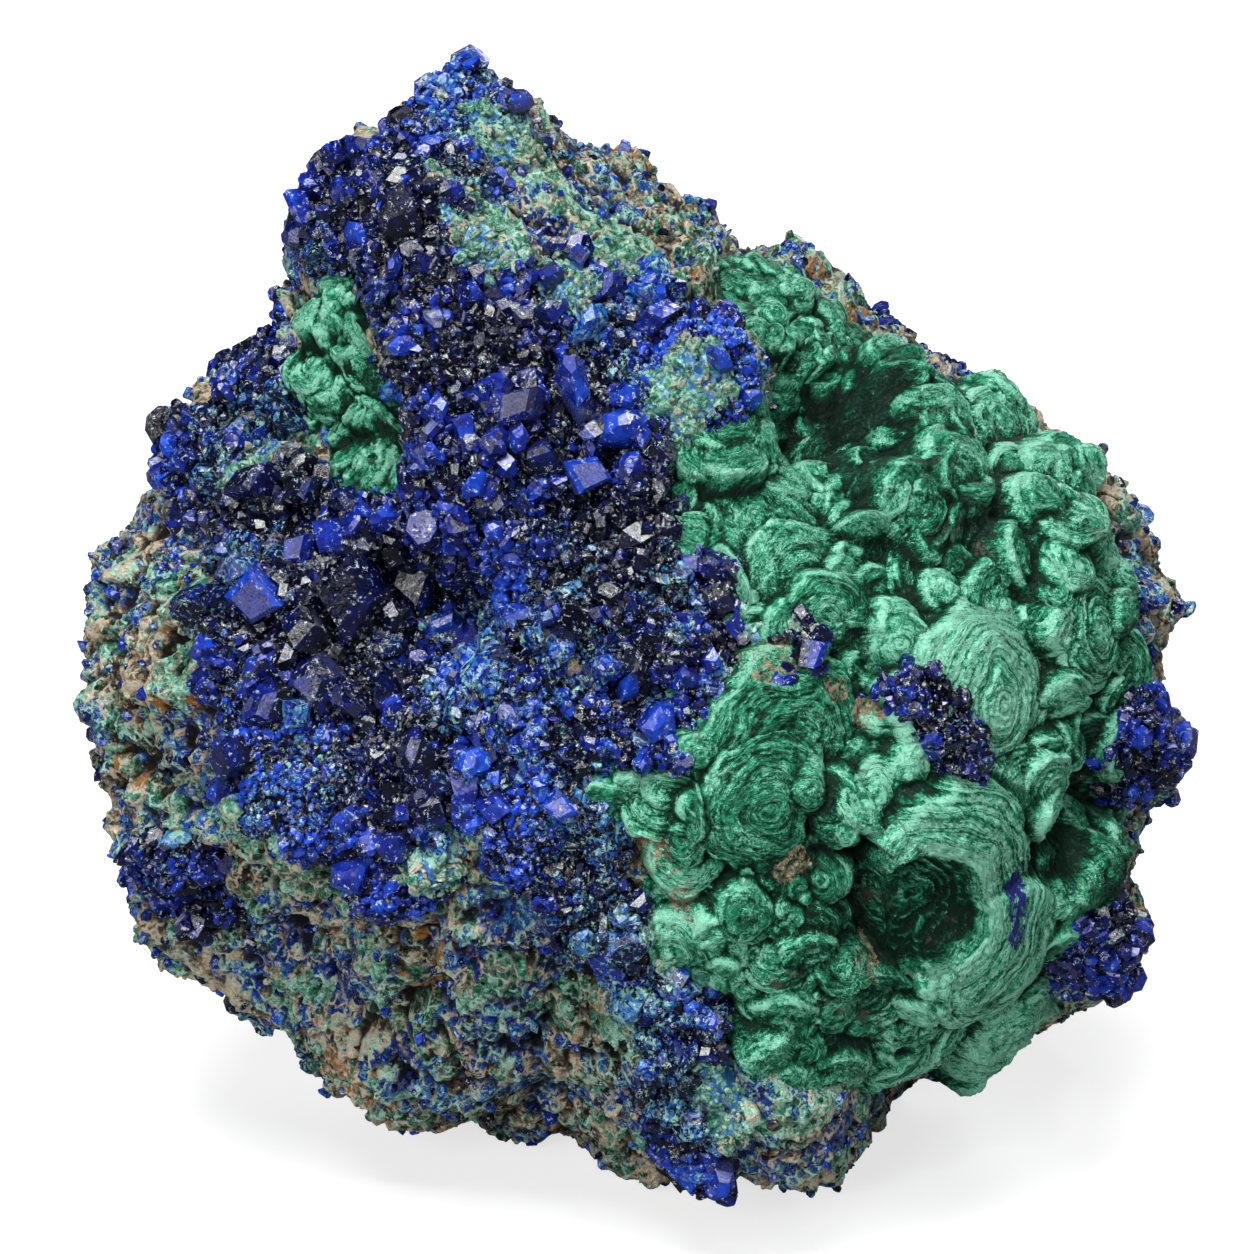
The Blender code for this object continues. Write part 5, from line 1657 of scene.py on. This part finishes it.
    def bite(self, ray: Array, level: Array, state: dict[str, Array]) -> None:
        """Breaks the bowls into the skin, with a banded rim round those that have one.

        Args:
            ray: unit directions.
            level: the stone's own distance.
            state: the skin's values, which are changed.
        """
        for x, y, size, height, rim, bearing in self.bowls:
            centre, _ = self.stone.balls(np.array([[x, y]]), np.array([height]))
            along = ray @ centre[0]
            room = size**2 - centre[0] @ centre[0] + along**2
            enter = np.where(room > 0.0, along - np.sqrt(np.maximum(room, 0.0)), 1e6)
            bitten = state["radius"] > enter
            below = np.clip(state["radius"] - enter, 0.0, None)
            floor = level - self.stone.bowl_depth
            radius = np.where(bitten, np.maximum(enter, floor), state["radius"])
            spoke = ray * radius[:, None] - centre[0]
            steep = -np.sum(spoke * ray, axis=1) / np.maximum(np.linalg.norm(spoke, axis=1), 1e-6)
            state["radius"] = radius
            state["inside"] = np.maximum(state["inside"], bitten * smoothstep(0.0, 2.5, below))
            state["facing"] = np.where(bitten, np.where(enter > floor, steep, 0.8), state["facing"])
            if rim:
                away = np.linalg.norm(spoke, axis=1) - size
                ahead = np.cos(np.arctan2(spoke[:, 1], spoke[:, 0]) - math.radians(bearing))
                curls = ahead > self.rim_turn + 0.2 * smooth_noise(spoke, 3.0, 108)
                shown = (away > 0.0) & (away < rim) & (~bitten) & curls
                state["ring"] = np.where(shown, away, np.where(bitten, -below, state["ring"]))
                state["banding"] = np.where(shown | bitten, 0.9, state["banding"])
                state["pale"] = np.where(shown, 1.05 - 0.4 * smoothstep(2.0, rim, away), state["pale"])
            state["pale"] = np.where(bitten, 0.15, state["pale"])

    def skin(self, face: Array) -> tuple[Array, dict[str, Array]]:
        """The growth's skin.

        Shells overlap: a ray leaves each shell's ball at its dot product with the ball's centre plus
        the half chord, and counts while it is inside the shell's edge. The ring distance is the arc
        from the shell's pole. Rays are first bent by noise, which makes the shells uneven. Bowls are
        bitten out of the main shells, and small ones grow on what is left.

        Args:
            face: unit directions.

        Returns:
            The distance for each direction, and the values for the finish.
        """
        stone = self.stone
        level = stone.stone_radius(face)
        plain = stone.plain_radius(face)
        flat = face * plain[:, None]
        bent = drift(drift(flat, 6.0, self.bend_mm, 181), 2.2, 0.4 * self.bend_mm, 185)
        ray = unit(bent)
        wobble = 1.0 + 0.10 * smooth_noise(flat, 2.6, 191) + 0.05 * smooth_noise(flat, 1.1, 192)
        grown = stone.lobed_cover(face, self.lobes, self.ground) > -0.05
        state = {
            "radius": np.where(grown, level - stone.crevice_depth, stone.hidden_level * plain),
            "ring": 7.0 * smooth_noise(flat, 7.0, 193),
            "banding": np.full(len(face), 0.4),
            "pale": 0.3 + 0.2 * smooth_noise(flat, 6.0, 195),
            "facing": np.full(len(face), 0.8),
            "inside": np.zeros(len(face)),
            "edge": np.full(len(face), -1.0),
        }
        self.lay(self.domes(), ray, wobble, state)
        self.bite(ray, level, state)
        if self.petals is not None:
            self.lay(self.petals, ray, wobble, state)
        if len(self.small):
            self.lay(self.knobs(), ray, wobble, state)
        radius, banding, inside = state["radius"], state["banding"], state["inside"]
        points = face * radius[:, None]
        ring = state["ring"] + 0.5 * smooth_noise(points, 3.2, 111) + 0.2 * smooth_noise(points, 1.4, 112)
        warped = drift(points, 2.6, 0.7, 115)
        lump, _ = packed_lumps(warped, 2.0, 121)
        small, _ = packed_lumps(drift(points, 0.8, 0.25, 118), 0.95, 131)
        wild = np.clip(1.0 - 0.85 * banding + 0.5 * smooth_noise(points, 5.0, 135), 0.12, 1.15)
        rough = wild * (0.9 * (lump - 0.6) + 0.7 * (small - 0.5))
        rough += 0.25 * smooth_noise(points, 0.5, 141) + 0.9 * inside * (small - 0.6)
        fold = ring / self.shell_mm + 0.2 * smooth_noise(points, 0.9, 153)
        fold = fold + wild * smooth_noise(warped, 4.0, 151)
        shells = layers(fold, 149) * (self.shell_height * (0.35 + 0.65 * wild))
        ridges = layers(ring / self.ridge_mm + 0.25 * smooth_noise(points, 1.0, 145), 147)
        ridges *= self.ridge_height * (0.25 + 0.75 * banding)
        calm = smoothstep(0.12, 0.5, state["facing"])
        relief = calm * (self.roughness_mm * rough + shells + ridges - 0.3)
        radius = radius + np.where(radius > level - stone.bowl_depth - 1.0, relief, 0.0)
        values = {"ring": ring, "banding": banding * calm, "pale": state["pale"] * (1.0 - 0.45 * inside)}
        values |= {"facing": state["facing"], "inside": inside}
        # rim: a painted highlight just inside each shell's edge, less a painted shadow on the skirt below the
        # edge and on the ground that no shell covers
        edge = state["edge"] + 0.12 * smooth_noise(points, 0.7, 157)
        values["rim"] = smoothstep(-0.15, 0.05, edge) * smoothstep(0.5, 0.15, edge)
        values["rim"] -= smoothstep(-0.1, -0.8, edge) * smoothstep(-3.5, -2.0, edge)
        values["pale"] = values["pale"] - 0.3 * stone.stain(face, MALACHITE_SHADE, 167)
        values["earth"] = stone.stain(face, LODGED_EARTH, 161)
        values["azure"] = stone.stain(face, LODGED_AZURITE, 165)
        return radius, values

    def build(self) -> None:
        """The growth as a closed mesh: its skin over the patch, and a cone from its rim inwards."""

        def cover(face: Array) -> Array:
            """The growth's cover of the stone."""
            return self.stone.lobed_cover(face, self.lobes, self.ground)

        rows = np.array([row[:2] for row in self.lobes])
        _, poles = self.stone.balls(rows, np.zeros(len(rows)))
        centre = poles.mean(axis=0) / np.linalg.norm(poles.mean(axis=0))
        face, quads, rim = patch_grid(centre, cover, self.cells)
        if self.petal_spacing:
            self.petals = self.grow_petals(face, quads, 60)
        radius, values = self.skin(face)
        # the finish paints shade into the hollows and a little light onto the crests from this height
        values["height"] = standing_out(radius, quads, (5, 70), 0.2) + 0.1 * values.pop("inside")
        values.pop("facing")
        root = centre * self.stone.hidden_level * radius.min()
        points, cone = closed_patch(face * radius[:, None], rim, root)
        values = {key: np.append(numbers, 0.5) for key, numbers in values.items()}
        corners = self.stone.to_world(points)
        made = mesh_object(self.node + "_skin", corners, [quads, cone], self.finish.shared(), values)
        place_piece(made, self.node)


# ------------------------------------------------------------------ azurite


@dataclass
class AzuriteCrust:
    """A crust of azurite: a bed of rosettes, with crystals of several sizes grown on it."""

    stone: Stone
    node: str
    patches: Sequence[Sequence[float]]
    cells: int
    finish: AzuriteFinish
    seed: int
    large: Sequence[Sequence[float]] = ()
    fine_size: float = 1.15
    medium_size: float = 2.3
    bed_lump: tuple[float, float] = (3.0, 2.5)
    thin_edge: float = 1.9
    clearing: float = 0.52
    most_crystals: int = 5400
    under: Callable[[Array], Array] | None = None

    def level(self, face: Array) -> tuple[Array, Array]:
        """The bed: the crust with smaller rosettes on it, thinning out towards its edge.

        Args:
            face: unit directions.

        Returns:
            The bed's distance, and how near each place is to a rosette's crown, from 0 to 1.
        """
        if self.under is None:
            base = self.stone.crust_radius(face, self.patches)
        else:
            cover = self.stone.patch_cover(face, self.patches)
            hidden = self.stone.hidden_level * self.stone.plain_radius(face)
            crust = self.under(face) + self.stone.crust_lift
            base = hidden + (crust - hidden) * smoothstep(-0.5, 0.12, cover)
        points = drift(face * self.stone.plain_radius(face)[:, None], 3.0, 0.7, 155)
        lump, _ = packed_lumps(points, self.bed_lump[0], 151)
        small, _ = packed_lumps(points, 1.5, 161)
        edge = self.thin_edge * (1.0 - smoothstep(-0.05, 0.35, self.stone.patch_cover(face, self.patches)))
        return base + self.bed_lump[1] * (lump - 0.75) + 0.7 * (small - 0.6) - edge, lump

    def build(self) -> None:
        """Builds the bed, the crystals, and the mint nodules among them where there are any."""
        rng = np.random.default_rng(self.seed)

        def cover(face: Array) -> Array:
            """The crust's cover of the stone."""
            return self.stone.patch_cover(face, self.patches)

        rows = sided(self.patches)
        aims = self.stone.toward(rows[:, :2], rows[:, 3], self.stone.form_radius)
        centre = aims.mean(axis=0) / np.linalg.norm(aims.mean(axis=0))
        face, quads, rim = patch_grid(centre, cover, self.cells)
        radius, crown = self.level(face)
        points = face * radius[:, None]
        normals = grid_normals(points, quads)
        inside = cover(face)
        flat = face * self.stone.plain_radius(face)[:, None]
        velvet = self.stone.stain(face, VELVET_PATCHES, 301)
        shade = self.stone.stain(face, SHADE_PATCHES, 303)
        minty = self.stone.stain(face, MINT_PATCHES, 244)
        film = 0.34 * self.stone.stain(face, FILM_PATCHES, 305) + 0.24 * smooth_noise(flat, 3.0, 307)
        tone = 0.34 + 0.20 * smooth_noise(flat, 6.0, 171) + 0.22 * smooth_noise(flat, 2.5, 172)
        # painted shade: crystals and bed darker the further they are from a rosette's crown
        tone = np.clip(tone + 0.34 * velvet - 0.4 * shade + 1.1 * (crown - 0.78), 0.0, 1.0)
        closed, cone = closed_patch(points, rim, centre * self.stone.hidden_level * radius.min())
        # painted shade: the bed, seen in the gaps between crystals, keeps a tenth of the tone
        values = {"tint": np.append(0.1 * tone, 0.5), "film": np.append(0.5 * film + 1.1 * minty, 0.0)}
        values |= {"frost": np.zeros(len(closed)), "rise": np.ones(len(closed)), "cut": np.ones(len(closed))}
        corners = self.stone.to_world(closed)
        bed = mesh_object(self.node + "_bed", corners, [quads, cone], self.finish.shared(), values)
        place_piece(bed, self.node)

        shown = np.nonzero(inside > -0.02)[0]
        for x, y, size, *_ in self.large:
            aim = self.stone.toward(np.array([[x, y]]), np.ones(1), self.stone.form_radius)
            apart = points[shown] - aim * (self.level(aim)[0] + 0.1 * size)
            shown = shown[np.linalg.norm(apart, axis=1) > self.clearing * size]
        blue = shown[minty[shown] < 0.5]
        velvety = blue[velvet[blue] > 0.5]
        open_blue = blue[velvet[blue] <= 0.5]
        fine = open_blue[thinned(points[open_blue], self.fine_size * 0.92, rng)]
        medium = open_blue[thinned(points[open_blue], self.medium_size * 1.3, rng)]
        pile = velvety[thinned(points[velvety], 0.72, rng)]
        where = np.concatenate([fine, medium, pile])
        sizes = np.concatenate([
            self.fine_size * np.clip(np.exp(rng.normal(0.0, 0.36, len(fine))), 0.5, 2.2),
            self.medium_size * np.clip(np.exp(rng.normal(0.0, 0.3, len(medium))), 0.5, 1.7),
            0.8 * rng.uniform(0.6, 1.5, len(pile)),
        ])
        sizes *= 0.7 + 0.45 * crown[where]
        turns = stances(normals[where], 0.5, rng)
        habits = [Growth.BLOCK, Growth.PRISM, Growth.WEDGE, Growth.TABLE, Growth.BLADE]
        tone_of = np.clip(tone[where] + rng.uniform(-0.2, 0.24, len(where)), 0.0, 1.0)
        film_of = film[where] + rng.uniform(-0.2, 0.3, len(where))
        parts = np.array_split(rng.permutation(len(where)), len(where) // self.most_crystals + 1)
        for number, part in enumerate(parts):
            swarm = Swarm.grow(points[where[part]], turns[part], sizes[part], habits, rng)
            frost = self.dulled(sizes[part], rng)
            looks = (tone_of[part], frost, film_of[part])
            self.crystals(f"_crystals_{number}", swarm, looks, rng)
        if len(self.large):
            self.large_crystals(rng)
        mint = shown[minty[shown] >= 0.5]
        if len(mint) > 200:
            mint = mint[thinned(points[mint], 0.8, rng)]
            self.mint_nodules(points[mint], normals[mint], rng)

    def dulled(self, sizes: Array, rng: np.random.Generator) -> Array:
        """Frost of each crystal's faces: on few of them, more often on large ones and on tops."""
        dull = rng.uniform(size=(len(sizes), MOST_FACETS)) + 0.07 * (sizes > 1.7)[:, None]
        dull[:, 0] += 0.08
        return 0.95 * smoothstep(0.98, 1.07, dull)

    def cut(self, suffix: str, count: int, rng: np.random.Generator) -> Array:
        """How strongly each crystal's faces are broken into little ones: hardly at all on large ones."""
        if suffix == "_large":
            return np.full(count, 0.06)
        return np.where(rng.random(count) < 0.72, 0.08, 0.5)

    def crystals(
        self, suffix: str, swarm: Swarm, looks: tuple[Array, Array, Array], rng: np.random.Generator
    ) -> None:
        """A piece of crystals whose flat faces each have a tone of their own.

        Args:
            suffix: end of the piece's name.
            swarm: the crystals.
            looks: each crystal's tone, the frost of each of its flat faces, and its film.
            rng: source of the faces' tones.
        """
        tone, frost, film = looks
        frost = frost * np.clip(2.2 * tone, 0.12, 1.0)[:, None]
        part = rng.uniform(-0.2, 0.22, (len(tone), MOST_FACETS))
        face_tone = tone[swarm.owner] + part[swarm.owner, swarm.group]
        values = {"tint": np.clip(face_tone, 0.0, 1.0), "frost": frost[swarm.owner, swarm.group]}
        values |= {"film": film[swarm.owner], "rise": swarm.rise}
        values["cut"] = self.cut(suffix, len(tone), rng)[swarm.owner]
        corners = self.stone.to_world(swarm.points)
        made = mesh_object(self.node + suffix, corners, [swarm.faces], self.finish.shared(), values, False)
        place_piece(made, self.node)

    def large_crystals(self, rng: np.random.Generator) -> None:
        """The largest crystals, at the places that their solids have."""
        big = np.array(self.large, float)
        aim = self.stone.toward(big[:, :2], np.ones(len(big)), self.stone.form_radius)
        turns = stances(aim, np.radians(big[:, 4]) * 0.5, rng)
        sizes = big[:, 2] * 1.02
        places = aim * (self.level(aim)[0] + 0.06 * sizes)[:, None]
        swarm = Swarm.grow(places, turns, sizes, [Growth.STUMP, Growth.BLOCK, Growth.WEDGE], rng, 9)
        frost = np.zeros((len(big), MOST_FACETS))
        frost[:, 0] = big[:, 6]
        frost += 0.5 * big[:, 6, None] * (rng.random((len(big), MOST_FACETS)) > 0.8)
        looks = (0.06 + 0.84 * big[:, 5], np.minimum(frost, 0.95), np.full(len(big), 0.05))
        self.crystals("_large", swarm, looks, rng)

    def mint_nodules(self, points: Array, normals: Array, rng: np.random.Generator) -> None:
        """Round mint-green growths on the blue crust."""
        sizes = 0.8 * np.exp(rng.normal(0.0, 0.4, len(points)))
        turns = stances(normals, 0.8, rng)
        swarm = Swarm.grow(points, turns, sizes, [Growth.BLADE, Growth.CRUMB, Growth.TABLE], rng)
        values = {"tint": rng.uniform(0.3, 0.9, len(points))[swarm.owner]}
        values["height"] = rng.uniform(0.4, 0.9, len(points))[swarm.owner]
        values["green"] = (rng.random(len(points)) < 0.25)[swarm.owner].astype(float)
        values["mint"] = 0.85 - 0.5 * values["green"]
        values["blue"] = rng.uniform(0.0, 0.45, len(points))[swarm.owner]
        values["ochre"] = np.zeros(len(swarm.faces))
        values["rise"] = swarm.rise
        corners = self.stone.to_world(swarm.points)
        material = bpy.data.materials["rock_finish"]
        made = mesh_object(self.node + "_mint", corners, [swarm.faces], material, values, False)
        place_piece(made, self.node)


# ------------------------------------------------------------------ the studio


@dataclass(frozen=True)
class Studio:
    """A pale floor, soft lights and the camera."""

    stone: Stone
    frame_width: float = 125.4
    aim: tuple[float, float] = (0.7, 2.3)
    floor_size: float = 3000.0
    room_glow: float = 0.025
    floor_glow: float = 0.7

    def camera(self) -> None:
        """The camera: square to the face plane, at the eye's distance."""
        data = bpy.data.cameras.new("camera")
        data.sensor_width = 36.0
        data.lens = data.sensor_width * self.stone.eye_distance / self.frame_width
        data.clip_start = 0.01
        made = bpy.data.objects.new("camera", data)
        bpy.context.collection.objects.link(made)
        place = np.array([[self.aim[0], self.aim[1], self.stone.eye_distance]])
        made.location = self.stone.to_world(place)[0]
        made.rotation_euler = (math.radians(90.0 - self.stone.face_tilt), 0.0, 0.0)
        bpy.context.scene.camera = made

    def light(self, name: str, place: tuple[float, float, float], size: float, power: float) -> None:
        """A square soft light in metres that faces the stone."""
        data = bpy.data.lights.new(name, "AREA")
        data.size = size
        data.energy = power
        made = bpy.data.objects.new(name, data)
        bpy.context.collection.objects.link(made)
        made.location = place
        aim = np.array(self.stone.centre) * MM - np.array(place)
        made.rotation_euler = (
            math.acos(-aim[2] / np.linalg.norm(aim)), 0.0, math.atan2(aim[1], aim[0]) - math.pi / 2.0
        )

    def floor(self) -> None:
        """A plain pale floor at z = 0."""
        material = bpy.data.materials.new("pale_floor")
        material.use_nodes = True
        nodes = Nodes(material.node_tree)
        shader = material.node_tree.nodes["Principled BSDF"]
        glossy = nodes.add("LightPath").outputs["Is Glossy Ray"]
        pale, dim = (0.42, 0.42, 0.42), (0.1, 0.1, 0.1)
        nodes.tree.links.new(nodes.mix(glossy, pale, dim), shader.inputs["Base Color"])
        shader.inputs["Roughness"].default_value = 0.9
        shader.inputs["Specular IOR Level"].default_value = 0.1
        shader.inputs["Emission Color"].default_value = (1.0, 1.0, 1.0, 1.0)
        seen = nodes.add("LightPath").outputs["Is Camera Ray"]
        nodes.tree.links.new(nodes.times(seen, self.floor_glow), shader.inputs["Emission Strength"])
        half = self.floor_size / 2.0 * MM
        corners = np.array([[-half, -half, 0.0], [half, -half, 0.0], [half, half, 0.0], [-half, half, 0.0]])
        mesh_object("floor", corners, [np.array([[0, 1, 2, 3]])], material)

    def room(self) -> None:
        """Pale surroundings: white to the camera, and dimmer where they light the stone."""
        world = bpy.data.worlds.new("pale_room")
        world.use_nodes = True
        nodes = Nodes(world.node_tree)
        dim = world.node_tree.nodes["Background"]
        dim.inputs["Color"].default_value = (0.97, 0.98, 1.0, 1.0)
        dim.inputs["Strength"].default_value = self.room_glow
        white = nodes.add("Background", {"Color": (1.0, 1.0, 1.0), "Strength": 1.0})
        seen = nodes.add("LightPath").outputs["Is Camera Ray"]
        both = nodes.add("MixShader", {0: seen, 1: dim.outputs[0], 2: white.outputs[0]})
        world.node_tree.links.new(both.outputs[0], world.node_tree.nodes["World Output"].inputs["Surface"])
        bpy.context.scene.world = world
        bpy.context.scene.view_settings.view_transform = "Standard"

    def build(self) -> None:
        """Sets the camera, the floor, the lights and the pale surroundings."""
        self.camera()
        self.floor()
        self.light("softbox_above", (-0.3, -0.8, 2.9), 1.5, 116.0)
        self.light("softbox_front", (-1.2, -2.8, 1.5), 1.1, 52.0)
        self.light("softbox_right", (2.2, -1.6, 1.8), 0.8, 16.0)
        self.light("softbox_back", (1.0, 2.8, 1.7), 1.2, 34.0)
        self.light("softbox_left", (-2.6, -1.7, 0.9), 1.0, 18.0)
        self.light("spark", (0.7, -1.6, 2.4), 0.12, 8.0)
        self.room()


# ------------------------------------------------------------------ main


def main() -> None:
    """Builds the specimen piece by piece round its solids."""
    logging.basicConfig(level=logging.INFO, format="%(message)s")
    stone = Stone()
    Studio(stone).build()
    glassy = AzuriteFinish("azurite_finish", 0.1, 0.35, 0.02)
    rock = HostRock(stone, glassy)
    rock.build()
    rock.grow_grains()
    silky = MalachiteFinish("malachite_finish", 0.45, 0.28, 0.2)
    mass = LobedMalachite(
        stone, "malachite_mass", MALACHITE_DOMES, MALACHITE_GROUND, MALACHITE_BOWLS, 312, silky, SMALL_DOMES,
        QUIET_SHELLS,
    )
    mass.build()
    LobedMalachite(
        stone, "malachite_seam", SEAM_LOBES, (), (), 120, silky, petal_spacing=1.8, petal_size=(0.8, 2.2),
        petal_rise=(0.25, 0.8), flatness=2.0, ridge_height=0.2, reach_more=1.4,
    ).build()
    LobedMalachite(
        stone, "malachite_nodules", TOP_NODULES, NODULE_GROUND, (), 120, silky, petal_spacing=2.2,
        petal_size=(0.9, 2.0), petal_rise=(0.5, 1.2), shell_height=0.25, ridge_height=0.12,
    ).build()
    AzuriteCrust(stone, "azurite_druse", DRUSE_PATCHES, 230, glassy, 11, LARGE_CRYSTALS).build()
    for number, (node, patches) in enumerate(OUTLYING_CLUSTERS.items()):
        AzuriteCrust(stone, node, patches, 60, glassy, 20 + number, medium_size=1.7).build()

    def mass_level(face: Array) -> Array:
        """The malachite mass's skin, which the knot grows on."""
        return mass.skin(face)[0]

    knot = AzuriteCrust(stone, "azurite_knot", KNOT_PATCHES, 60, glassy, 30, medium_size=1.5, under=mass_level)
    knot.build()


if __name__ == "__main__":
    main()
